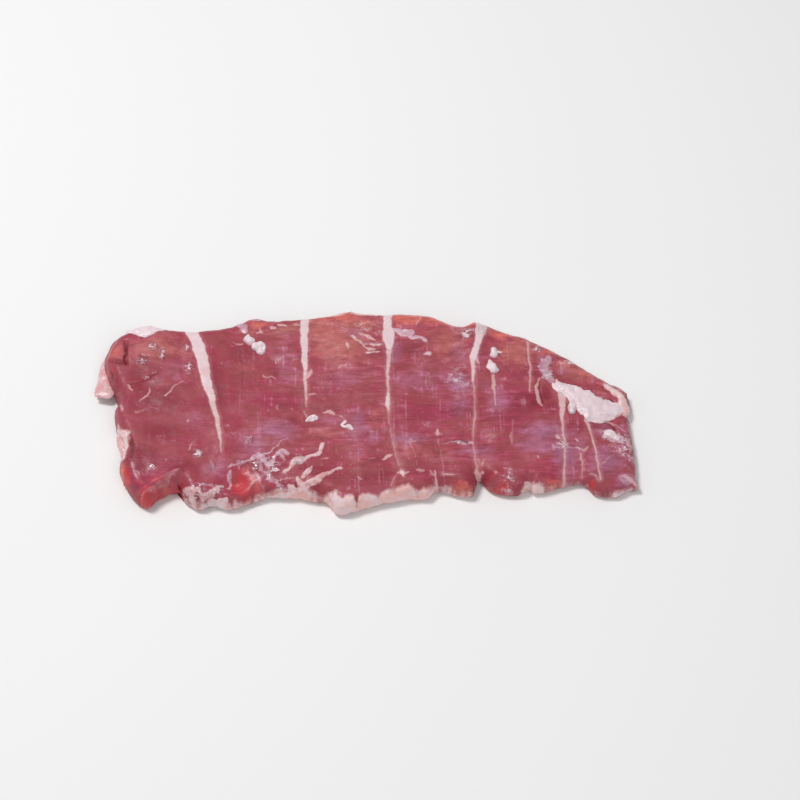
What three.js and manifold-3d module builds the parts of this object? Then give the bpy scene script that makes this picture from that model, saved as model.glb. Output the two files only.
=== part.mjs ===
// A raw pork flank steak: one thin slab of muscle about 228 mm long that lies flat on its underside. Soft white fat
// lies on it in lumps and strands, films of it show past the left end, and the front left corner is folded up.
// Millimetres, +Z up. The origin is in the middle of the underside, +X runs to the thin end, -Y is the front edge.

import * as THREE from 'three';
import { mergeVertices } from 'three/addons/utils/BufferGeometryUtils.js';
import Module from 'manifold-3d';

// ---- Outline, seen from above. Each edge is a smooth curve through its points. ----

const CORNERS = {
  frontLeft: [-93, -44.3],
  frontRight: [113, -44],
  backLeft: [-101.7, 42.6],
  backRight: [113, 5],
};

// From left to right, x rises all the way.
const BACK_EDGE = [
  CORNERS.backLeft,
  [-94, 45.2],
  [-83.5, 42.8],
  [-70, 42.7],
  [-57, 45],
  [-45.5, 49.6],
  [-39, 48.2],
  [-26, 48.5],
  [-13, 50.1],
  [-5, 52.3],
  [9, 49.9],
  [19.5, 50.4],
  [31, 48.4],
  [44, 42.1],
  [50.5, 44.6],
  [65.5, 37],
  [72, 35.2],
  [90, 22.9],
  [104, 11.8],
  CORNERS.backRight,
];

const FRONT_EDGE = [
  CORNERS.frontLeft,
  [-88.8, -46.9],
  [-84.5, -42.6],
  [-76, -39.4],
  [-73, -45],
  [-67.5, -48],
  [-62, -46.4],
  [-55, -48.5],
  [-42, -43.6],
  [-33, -43.2],
  [-15.5, -47],
  [-10.5, -52.3],
  [4.5, -48.8],
  [19, -45.8],
  [26.6, -45.2],
  [29.4, -42.3],
  [37, -44.2],
  [44.5, -45],
  [47.5, -37.8],
  [51.5, -42.2],
  [57, -44.7],
  [65.6, -44.7],
  [67.8, -42.7],
  [70.5, -44.7],
  [85, -40.8],
  [91.5, -41.6],
  [95, -46],
  [103, -47.2],
  [109.5, -44.2],
  CORNERS.frontRight,
];

// From front to back, y rises all the way.
const LEFT_END = [
  CORNERS.frontLeft,
  [-98.7, -36.2],
  [-101.3, -28.5],
  [-100, -19.3],
  [-103.6, -8.4],
  [-104.9, -0.5],
  [-103.4, 5],
  [-109, 20.4],
  [-110.7, 28],
  [-107.5, 37],
  CORNERS.backLeft,
];

const RIGHT_END = [
  CORNERS.frontRight,
  [112.5, -38.5],
  [113, -28],
  [112.5, -9],
  [113.6, -1],
  CORNERS.backRight,
];

// ---- Thickness ----

const THICKNESS = 9.5; // of the middle
const LEFT_EXTRA = 1.8; // the left third is thicker
const RIGHT_LOSS = 2.6; // the right end is thinner
const RIM_HEIGHT = 2.6; // of the widest line round the edge
const RIM_ROUND = 6; // how far in the top's rounded rim reaches
const WAVES = [
  // [height, length along x, length along y, shift] of the slow swells of the top
  [0.55, 64, 88, 0.4],
  [0.35, 31, 47, 2.1],
  [0.25, 19, 120, 4.4],
];

// Round dips and swells of the top: [x, y, radius along x, radius along y, height].
const DIPS = [
  { name: 'open hollow at the front', x: -53, y: -40, rx: 5.5, ry: 5, height: -3.6 },
  { name: 'valley behind the folded corner', x: -90, y: -36, rx: 7, ry: 6, height: -2.2 },
  { name: 'valley that the red notch opens', x: 47, y: -35, rx: 3.5, ry: 6, height: -1.6 },
  { name: 'trough along the right half', x: 62, y: -24, rx: 34, ry: 5, height: -0.7 },
  { name: 'pit left of the fat at the right end', x: 78, y: 2, rx: 4.5, ry: 6, height: -1.2 },
];

// Knife cuts that pinch the top: from, to, half width and depth.
const CUTS = [
  { from: [-100.7, 34], to: [-100.2, 22.5], halfWidth: 1.3, depth: 1.6 },
  { from: [-108, 25], to: [-100.2, 22.2], halfWidth: 1.3, depth: 1.4 },
];

// ---- What lies on the top: each is a rounded roll along a path, with a half width at each point. ----

const ROLLS = [
  { name: 'fat of the right end', path: [[79, 13], [84, 7], [90, 1], [97, -5], [104, -7.5], [110.5, -6]],
    halfWidths: [1.2, 2.6, 4.2, 5, 4, 2.6], rise: 1.5 },
  { name: 'fat above it', path: [[75.5, 22.5], [79, 18.5], [81, 13.5]], halfWidths: [1.4, 2.2, 1.6], rise: 0.9 },
  { name: 'membrane round the hollow', path: [[-56, -42], [-56.5, -34], [-51, -29.5], [-44.5, -27.3], [-38.5, -30]],
    halfWidths: [0.8, 1, 1.2, 1.6, 0.8], rise: 0.9 },
  { name: 'left strand', path: [[-29, -31.4], [-24.2, -28.4], [-18.4, -26.1], [-16.6, -22]],
    halfWidths: [1.9, 1.3, 1.1, 0.9], rise: 1.1 },
  { name: 'middle strand', path: [[-32.6, -35.8], [-27, -31.6]], halfWidths: [0.8, 0.9], rise: 0.8 },
  { name: 'short strand', path: [[-25, -38.4], [-20.8, -33]], halfWidths: [1.2, 0.8], rise: 0.9 },
  { name: 'right strand', path: [[-24.5, -43.5], [-18.8, -39.7], [-12.7, -36.2], [-8.6, -35]],
    halfWidths: [1.5, 1.4, 1, 0.7], rise: 1.1 },
  { name: 'stub between the strands', path: [[-27.2, -37.4], [-25.5, -42], [-24.8, -46]],
    halfWidths: [0.9, 1.6, 2], rise: 1 },
  { name: 'folded front left corner', path: [[-91, -44.6], [-84.5, -40], [-76.5, -34]],
    halfWidths: [2.2, 2.1, 1.6], rise: 1.6 },
  { name: 'fat along the back left', path: [[-101.5, 39.4], [-94, 41.6], [-85, 40]],
    halfWidths: [1, 1.9, 0.8], rise: 0.6 },
  { name: 'film by the beads', path: [[-51, 39], [-48, 44.4], [-41.5, 45.6]], halfWidths: [1.8, 1.6, 0.8], rise: 0.7 },
  { name: 'flap by the third band', path: [[15.5, 38.8], [21.5, 35.6], [29.3, 30.5]],
    halfWidths: [1.4, 1.5, 0.7], rise: 0.8 },
  { name: 'shiny ridge', path: [[-4, 36.5], [1, 32.3], [5.5, 28.4]], halfWidths: [0.8, 1, 0.8], rise: 0.7 },
  { name: 'crinkled rim', path: [[-73, -41.5], [-67, -43.5], [-60, -42.8]], halfWidths: [1.6, 2, 1.5], rise: 0.9 },
];

// Round lumps of fat, part sunk: [x, y, half length, half width, height above the top].
const BEADS = [
  [-47.4, 33.8, 2.6, 2.3, 1.7],
  [-42.3, 29.4, 3.5, 2.9, 2],
  [57.3, 23.6, 2, 2.6, 1.3],
  [55.8, 16.6, 2.4, 3, 1.5],
  [87.5, -0.5, 2.4, 3, 1.7],
  [103, -20.4, 2.6, 2.6, 1.3],
  [-7.2, -12.7, 1.5, 1.2, 0.8],
  [-21, -8.2, 2.2, 1.2, 0.8],
];

// ---- Thin films that stick out at the left end and lie near the underside. ----

const FILMS = [
  { name: 'upper film', path: [[-103, 36], [-108.5, 27], [-110.4, 18], [-109, 10]],
    halfWidths: [2.5, 3.6, 3.5, 2.6], height: 2.4, halfThickness: 1.1 },
  { name: 'lower film', path: [[-100.5, -8], [-99.5, -13], [-98.5, -18], [-98, -22]],
    halfWidths: [3, 3.6, 3, 1.6], height: 3.6, halfThickness: 1.2 },
];

// ---- Fineness ----

const CELLS_ALONG = 60;
const CELLS_ACROSS = 27;
const RIM_CROWDING = 0.5; // 0 spaces the grid's lines evenly, 1 packs them at the rims
const OUTLINE_STEPS = 160; // straight steps of each edge, for distances to the outline
const ROLL_RINGS_PER_POINT = 2;
const ROLL_SIDES = 8;
const TIP_REACH = 0.8; // of a roll's end, in its half widths
const SUNK = 0.5; // how far a roll's middle lies below the top
const BEAD_SIDES = 9;
const BEAD_RINGS = 6;

const MEAT = new THREE.MeshStandardMaterial({ color: 0xa5555f, roughness: 0.35, metalness: 0 });

// Returns a function that gives the second coordinate for the first, smooth through all points.
function smoothCurve(points) {
  const slope = points.map((_, i) => {
    const [before, after] = [points[Math.max(i - 1, 0)], points[Math.min(i + 1, points.length - 1)]];
    return (after[1] - before[1]) / (after[0] - before[0]);
  });
  return (at) => {
    let i = 0;
    while (i < points.length - 2 && at > points[i + 1][0]) i += 1;
    const [[t0, value0], [t1, value1]] = [points[i], points[i + 1]];
    const span = t1 - t0;
    const t = THREE.MathUtils.clamp((at - t0) / span, 0, 1);
    const [square, cube] = [t * t, t * t * t];
    return (2 * cube - 3 * square + 1) * value0 + (cube - 2 * square + t) * span * slope[i]
      + (3 * square - 2 * cube) * value1 + (cube - square) * span * slope[i + 1];
  };
}

const swap = ([x, y]) => [y, x];
const backY = smoothCurve(BACK_EDGE);
const frontY = smoothCurve(FRONT_EDGE);
const leftX = smoothCurve(LEFT_END.map(swap));
const rightX = smoothCurve(RIGHT_END.map(swap));

// The point of the slab's plan at u along and v across, both from 0 to 1: it blends the four edges, so that the
// outline is met exactly where u or v is 0 or 1.
function planPoint(u, v) {
  const { frontLeft, frontRight, backLeft, backRight } = CORNERS;
  const { lerp } = THREE.MathUtils;
  const frontX = lerp(frontLeft[0], frontRight[0], u);
  const backX = lerp(backLeft[0], backRight[0], u);
  const sideYLeft = lerp(frontLeft[1], backLeft[1], v);
  const sideYRight = lerp(frontRight[1], backRight[1], v);
  const across = [lerp(frontX, backX, v), lerp(frontY(frontX), backY(backX), v)];
  const along = [lerp(leftX(sideYLeft), rightX(sideYRight), u), lerp(sideYLeft, sideYRight, u)];
  return [0, 1].map((axis) => {
    const front = lerp(frontLeft[axis], frontRight[axis], u);
    const back = lerp(backLeft[axis], backRight[axis], u);
    return across[axis] + along[axis] - lerp(front, back, v);
  });
}

// The outline as one closed ring of straight steps.
function outlineRing() {
  const ring = [];
  for (let i = 0; i < OUTLINE_STEPS; i += 1) ring.push(planPoint(i / OUTLINE_STEPS, 0));
  for (let i = 0; i < OUTLINE_STEPS; i += 1) ring.push(planPoint(1, i / OUTLINE_STEPS));
  for (let i = OUTLINE_STEPS; i > 0; i -= 1) ring.push(planPoint(i / OUTLINE_STEPS, 1));
  for (let i = OUTLINE_STEPS; i > 0; i -= 1) ring.push(planPoint(0, i / OUTLINE_STEPS));
  return ring;
}

function distanceToSegment([x, y], [ax, ay], [bx, by]) {
  const [dx, dy] = [bx - ax, by - ay];
  const t = THREE.MathUtils.clamp(((x - ax) * dx + (y - ay) * dy) / (dx * dx + dy * dy), 0, 1);
  return Math.hypot(x - ax - t * dx, y - ay - t * dy);
}

const RING = outlineRing();

function distanceToOutline(point) {
  return Math.min(...RING.map((start, i) => distanceToSegment(point, start, RING[(i + 1) % RING.length])));
}

// Height of the slab's top: full thickness inside, down to the rim on a quarter of an ellipse.
function topHeight([x, y]) {
  const { smoothstep } = THREE.MathUtils;
  let thickness = THICKNESS + LEFT_EXTRA * (1 - smoothstep(x, -85, -35)) - RIGHT_LOSS * smoothstep(x, 55, 112);
  for (const [height, lengthX, lengthY, shift] of WAVES) {
    thickness += height * Math.sin((2 * Math.PI * x) / lengthX + shift) * Math.cos((2 * Math.PI * y) / lengthY + shift);
  }
  for (const dip of DIPS) {
    thickness += dip.height * Math.exp(-(((x - dip.x) / dip.rx) ** 2) - ((y - dip.y) / dip.ry) ** 2);
  }
  for (const cut of CUTS) {
    thickness -= cut.depth * Math.exp(-((distanceToSegment([x, y], cut.from, cut.to) / cut.halfWidth) ** 2));
  }
  const fromRim = Math.min(distanceToOutline([x, y]) / RIM_ROUND, 1);
  return RIM_HEIGHT + (thickness - RIM_HEIGHT) * Math.sqrt(1 - (1 - fromRim) ** 2);
}

// A geometry from a list of points and a list of triangles.
function geometryFrom(points, triangles) {
  const geometry = new THREE.BufferGeometry();
  geometry.setAttribute('position', new THREE.Float32BufferAttribute(points.flat(), 3));
  geometry.setIndex(triangles.flat());
  return geometry;
}

// The slab: a grid for the top and one for the flat underside, which share their outermost points.
function slab() {
  const crowd = (t) => t - (RIM_CROWDING * Math.sin(2 * Math.PI * t)) / (2 * Math.PI);
  const [points, triangles] = [[], []];
  const sheets = { top: [], under: [] };
  for (let j = 0; j <= CELLS_ACROSS; j += 1) {
    for (let i = 0; i <= CELLS_ALONG; i += 1) {
      const plan = planPoint(crowd(i / CELLS_ALONG), crowd(j / CELLS_ACROSS));
      const onRim = i === 0 || j === 0 || i === CELLS_ALONG || j === CELLS_ACROSS;
      sheets.top.push(points.push([...plan, onRim ? RIM_HEIGHT : topHeight(plan)]) - 1);
      sheets.under.push(onRim ? points.length - 1 : points.push([...plan, 0]) - 1);
    }
  }
  for (let j = 0; j < CELLS_ACROSS; j += 1) {
    for (let i = 0; i < CELLS_ALONG; i += 1) {
      const corner = j * (CELLS_ALONG + 1) + i;
      const cell = [corner, corner + 1, corner + CELLS_ALONG + 2, corner + CELLS_ALONG + 1];
      const [a, b, c, d] = cell.map((k) => sheets.top[k]);
      triangles.push([a, b, c], [a, c, d]);
      const [e, f, g, h] = cell.map((k) => sheets.under[k]);
      triangles.push([e, g, f], [e, h, g]);
    }
  }
  return geometryFrom(points, triangles);
}

// A closed roll with an oval section along a plan path. middle gives the section's height above the surface that the
// steak lies on, and halfHeight half of its own height.
function roll(path, halfWidths, middle, halfHeight) {
  const curve = new THREE.CatmullRomCurve3(path.map(([x, y]) => new THREE.Vector3(x, y, 0)));
  const rings = (path.length - 1) * ROLL_RINGS_PER_POINT + 1;
  const [points, triangles] = [[], []];
  for (let k = 0; k < rings; k += 1) {
    const t = k / (rings - 1);
    const { x, y } = curve.getPoint(t);
    const direction = curve.getTangent(t);
    const place = t * (path.length - 1);
    const before = Math.min(Math.floor(place), path.length - 2);
    const halfWidth = THREE.MathUtils.lerp(halfWidths[before], halfWidths[before + 1], place - before);
    for (let side = 0; side < ROLL_SIDES; side += 1) {
      const angle = (2 * Math.PI * side) / ROLL_SIDES;
      const sideways = halfWidth * Math.cos(angle);
      points.push([
        x - direction.y * sideways,
        y + direction.x * sideways,
        middle([x, y]) + halfHeight * Math.sin(angle),
      ]);
    }
  }
  for (let k = 0; k < rings - 1; k += 1) {
    for (let side = 0; side < ROLL_SIDES; side += 1) {
      const next = (side + 1) % ROLL_SIDES;
      const [a, b] = [k * ROLL_SIDES + side, k * ROLL_SIDES + next];
      triangles.push([a, b + ROLL_SIDES, a + ROLL_SIDES], [a, b, b + ROLL_SIDES]);
    }
  }
  for (const [end, outward] of [[0, -1], [1, 1]]) {
    const { x, y } = curve.getPoint(end);
    const direction = curve.getTangent(end);
    const reach = outward * TIP_REACH * halfWidths[end * (halfWidths.length - 1)];
    const tip = points.push([x + direction.x * reach, y + direction.y * reach, middle([x, y])]) - 1;
    for (let side = 0; side < ROLL_SIDES; side += 1) {
      const first = end * (rings - 1) * ROLL_SIDES;
      const [here, next] = [first + side, first + ((side + 1) % ROLL_SIDES)];
      triangles.push(end === 0 ? [tip, next, here] : [tip, here, next]);
    }
  }
  return geometryFrom(points, triangles);
}

function bead([x, y, halfLength, halfWidth, rise]) {
  const geometry = new THREE.SphereGeometry(1, BEAD_SIDES, BEAD_RINGS);
  geometry.rotateX(Math.PI / 2);
  geometry.scale(halfLength, halfWidth, rise);
  geometry.translate(x, y, topHeight([x, y]));
  return geometry;
}

// A closed mesh whose shared vertices are merged, as a solid that can be joined.
function solid(wasm, geometry) {
  geometry.deleteAttribute('normal');
  geometry.deleteAttribute('uv');
  const merged = mergeVertices(geometry);
  return new wasm.Manifold(new wasm.Mesh({
    numProp: 3,
    vertProperties: merged.attributes.position.array,
    triVerts: Uint32Array.from(merged.index.array),
  }));
}

function geometryOf(manifold) {
  const { vertProperties, triVerts } = manifold.getMesh();
  const geometry = new THREE.BufferGeometry();
  geometry.setAttribute('position', new THREE.Float32BufferAttribute(vertProperties, 3));
  geometry.setIndex(new THREE.BufferAttribute(triVerts, 1));
  geometry.computeVertexNormals();
  return geometry;
}

const wasm = await Module();
wasm.setup();

const lying = ROLLS.map(({ path, halfWidths, rise }) => (
  roll(path, halfWidths, (point) => topHeight(point) - SUNK, rise + SUNK)));
const films = FILMS.map(({ path, halfWidths, height, halfThickness }) => (
  roll(path, halfWidths, () => height, halfThickness)));
const steak = [...lying, ...BEADS.map(bead), ...films].reduce(
  (joined, geometry) => joined.add(solid(wasm, geometry)),
  solid(wasm, slab()),
);

const mesh = new THREE.Mesh(geometryOf(steak), MEAT);
mesh.name = 'pork_steak';

const group = new THREE.Group();
group.add(mesh);

export default group;
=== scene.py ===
"""A raw pork flank steak that lies flat: a slab of muscle with white tendon bands, fat and films.

Lengths in the tables below are millimetres in the frame's own axes: +X runs to the thin end, and -Y
is the front edge.
"""

import math

import bpy
import numpy as np
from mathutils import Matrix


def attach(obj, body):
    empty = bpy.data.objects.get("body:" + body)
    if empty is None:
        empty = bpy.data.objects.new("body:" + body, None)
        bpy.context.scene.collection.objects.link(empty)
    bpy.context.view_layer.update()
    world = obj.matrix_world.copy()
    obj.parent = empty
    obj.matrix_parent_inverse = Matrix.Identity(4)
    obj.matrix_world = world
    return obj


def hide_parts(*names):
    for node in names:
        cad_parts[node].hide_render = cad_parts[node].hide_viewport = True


bl_info = {
    "name": "Raw Flank Steak",
    "version": (1, 0, 0),
    "blender": (4, 5, 0),
    "location": "3D View > Sidebar > Steak",
    "description": "Makes the meat, fat and films of a raw pork flank steak over its packed solid",
    "category": "Mesh",
}

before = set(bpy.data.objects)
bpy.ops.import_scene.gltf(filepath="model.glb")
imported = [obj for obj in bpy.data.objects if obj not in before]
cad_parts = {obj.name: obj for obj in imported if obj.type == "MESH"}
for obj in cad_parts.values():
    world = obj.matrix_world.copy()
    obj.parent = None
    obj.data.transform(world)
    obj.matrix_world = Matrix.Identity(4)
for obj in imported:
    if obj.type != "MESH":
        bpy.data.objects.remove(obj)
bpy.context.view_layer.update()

MM = 0.001

# ---- The slab's plan: each edge is a smooth curve through its points ----

FRONT_LEFT, FRONT_RIGHT = (-93.0, -44.3), (113.0, -44.0)
BACK_LEFT, BACK_RIGHT = (-101.7, 42.6), (113.0, 5.0)
BACK_EDGE = (
    BACK_LEFT, (-94, 45.2), (-83.5, 42.8), (-70, 42.7), (-57, 45), (-45.5, 49.6), (-39, 48.2),
    (-26, 48.5), (-13, 50.1), (-5, 52.3), (9, 49.9), (19.5, 50.4), (31, 48.4), (44, 42.1), (50.5, 44.6),
    (65.5, 37), (72, 35.2), (90, 22.9), (104, 11.8), BACK_RIGHT,
)
FRONT_EDGE = (
    FRONT_LEFT, (-88.8, -46.9), (-84.5, -42.6), (-76, -39.4), (-73, -45), (-67.5, -48), (-62, -46.4),
    (-55, -48.5), (-42, -43.6), (-33, -43.2), (-15.5, -47), (-10.5, -52.3), (4.5, -48.8), (19, -45.8),
    (26.6, -45.2), (29.4, -42.3), (37, -44.2), (44.5, -45), (47.5, -37.8), (51.5, -42.2), (57, -44.7),
    (65.6, -44.7), (67.8, -42.7), (70.5, -44.7), (85, -40.8), (91.5, -41.6), (95, -46), (103, -47.2),
    (109.5, -44.2), FRONT_RIGHT,
)
LEFT_END = (
    FRONT_LEFT, (-98.7, -36.2), (-101.3, -28.5), (-100, -19.3), (-103.6, -8.4), (-104.9, -0.5),
    (-103.4, 5), (-109, 20.4), (-110.7, 28), (-107.5, 37), BACK_LEFT,
)
RIGHT_END = (FRONT_RIGHT, (112.5, -38.5), (113, -28), (112.5, -9), (113.6, -1), BACK_RIGHT)

# ---- Thickness ----

LEFT_EXTRA, LEFT_SLOPE = 1.8, (-85, -35)  # the left end is thicker, and x where that fades out
RIGHT_LOSS, RIGHT_SLOPE = 2.6, (55, 112)  # the right end is thinner, and x where that grows
RIM_HEIGHT = 2.6  # of the widest line round the edge
RIM_ROUND = 6.0  # how far in the top's rounded rim reaches
WAVES = (  # height, length along x, length along y, shift
    (0.55, 64, 88, 0.4),
    (0.35, 31, 47, 2.1),
    (0.25, 19, 120, 4.4),
)
DIPS = (  # x, y, radius along x, radius along y, height, which is below 0
    (-53, -40, 5.5, 5, -3.6),  # the open hollow at the front
    (-90, -36, 7, 6, -1.5),  # the valley behind the folded corner
    (47, -35, 3.5, 6, -1.6),  # the valley that the red notch opens
    (62, -24, 34, 5, -0.7),  # the trough along the right half
    (78, 2, 4.5, 6, -1.2),  # the pit left of the fat at the right end
)
CUTS = (  # the two ends, half width, depth
    ((-100.7, 34), (-100.2, 22.5), 0.8, 0.9),
    ((-107, 24.6), (-100.2, 22.2), 1.0, 0.9),
)
FOLD = ((-91, -46, 2.2), (-84.5, -41.3, 2.1), (-76.5, -36, 1.4))  # the folded corner, as a stroke
FOLD_RISE = 1.1
FOLD_FOOT = 2.0  # how far its slope starts outside the stroke
FOLD_SLOPE = 2.5  # how wide the slope is

# ---- Fine relief of the top ----

FIBRED_FROM = (-80, -40)  # x where the fibres begin to stand up, and where they do in full
GRAIN_FROM = (-70, -25)  # the same for their colour
FIBRE_HEIGHT, BUNDLE_HEIGHT = 0.09, 0.1  # of single fibres and of bundles
SWELL_HEIGHT, RIPPLE_HEIGHT = 0.34, 0.05
LIP_HEIGHT = 0.08  # of the lip and of the groove along a tendon band's edge
STRAND_HEIGHT = 0.75
FILM_HEIGHT, WRINKLE_HEIGHT = 0.16, 0.3  # of a film and of the wrinkles in it
LOBE_HEIGHT, LUMP_HEIGHT = 0.4, 0.08  # of the fat's lobes and of small lumps on them
WET_HEIGHT = 0.2  # of the crinkles in wet patches
CRACK_DEPTH = 0.4
RIM_FADE = 2.5  # the relief starts at the outline and is full this far in

# ---- White tendon bands from left to right: strength, then x, y and half width along each ----

BANDS = (
    (0.9, ((-73.5, 43, 3.2), (-72.6, 38.8, 2.9), (-70.4, 33.8, 2.6), (-69.1, 28.8, 2.8),
           (-67.2, 21, 2.5))),
    (0.75, ((-67.2, 21, 2.5), (-65.8, 12.5, 2.2), (-63.3, 3, 1.6))),
    (0.6, ((-63.3, 3, 1.6), (-61, -7.4, 1.1), (-59.5, -16, 0.85), (-58.9, -25, 0.3))),
    (0.85, ((-24, 49, 2.0), (-24.1, 42, 2.0), (-24.3, 35, 1.7), (-24.0, 27, 1.6), (-23.9, 18, 1.15))),
    (0.65, ((-23.9, 18, 1.15), (-23.8, 10, 0.9), (-23.5, 3, 0.6), (-23.5, -2, 0.25))),
    (0.9, ((11.9, 51, 2.1), (12.1, 44, 2.0), (11.7, 40.8, 2.0), (12.3, 38, 2.9), (12.2, 34, 2.8),
           (12.3, 30, 1.8))),
    (0.6, ((12.3, 30, 1.8), (12.0, 25, 1.2), (11.5, 19, 0.9), (11.2, 12, 0.8), (11.1, 3, 0.6))),
    (0.7, ((11.2, 2.5, 0.9), (10.8, -2.8, 1.3), (11, -5, 0.6))),
    (0.35, ((11, -5.5, 0.5), (11.2, -10, 0.4), (11.6, -17, 0.35), (12.8, -23.5, 0.45),
            (13.6, -29, 0.35), (14.7, -33.5, 0.35))),
    (0.7, ((15.3, -35.5, 0.4), (16, -37, 1.1), (16.2, -39.4, 0.4))),
    (0.4, ((13.3, -38.6, 0.35), (11.8, -40.6, 0.4), (11, -43.5, 0.35))),
    (0.9, ((53, 44, 2.2), (52.5, 39.5, 2.7), (51.8, 35, 2.4), (50.8, 32, 1.7), (50, 28.5, 1.3),
           (48.8, 25, 1.7), (48, 22.3, 1.7))),
    (0.65, ((48, 22.3, 1.7), (47.8, 19, 1.1), (47.5, 13, 0.9), (47.3, 9, 0.75))),
    (0.4, ((47.3, 9, 0.7), (47.6, 3, 0.45), (47.4, -4, 0.45), (46.9, -10.5, 0.7), (46, -17, 0.5),
           (45.7, -25, 0.5), (46.2, -32, 0.45), (46.9, -37, 0.7))),
    (0.5, ((71.8, 31, 0.7), (71.9, 22, 0.6), (72.2, 15, 0.65), (71.5, 8, 0.5), (71, 3, 0.4))),
    (0.6, ((84.7, 3, 1.9), (84.3, -4, 1.4), (83.8, -9, 1), (83.7, -11, 0.8))),
    (0.5, ((83.7, -11, 0.8), (83.6, -18, 0.6), (84, -23.5, 0.9), (83.3, -29, 0.6), (83, -35, 0.6),
           (82.5, -41, 0.9), (82.2, -45, 1.1))),
    (0.4, ((90, -28.4, 0.6), (90, -31.4, 0.6), (90.9, -32.7, 0.5), (90.2, -35, 0.4),
           (89.8, -39.5, 0.3))),
    (0.55, ((94, -11.5, 1.1), (94.9, -15.5, 0.7), (95.9, -22, 0.5), (96.6, -29, 0.5), (96.9, -36, 0.5),
            (97.1, -42, 0.4))),
)

# ---- Smaller things drawn on the top: strength, then x, y and half width along each ----

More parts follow.
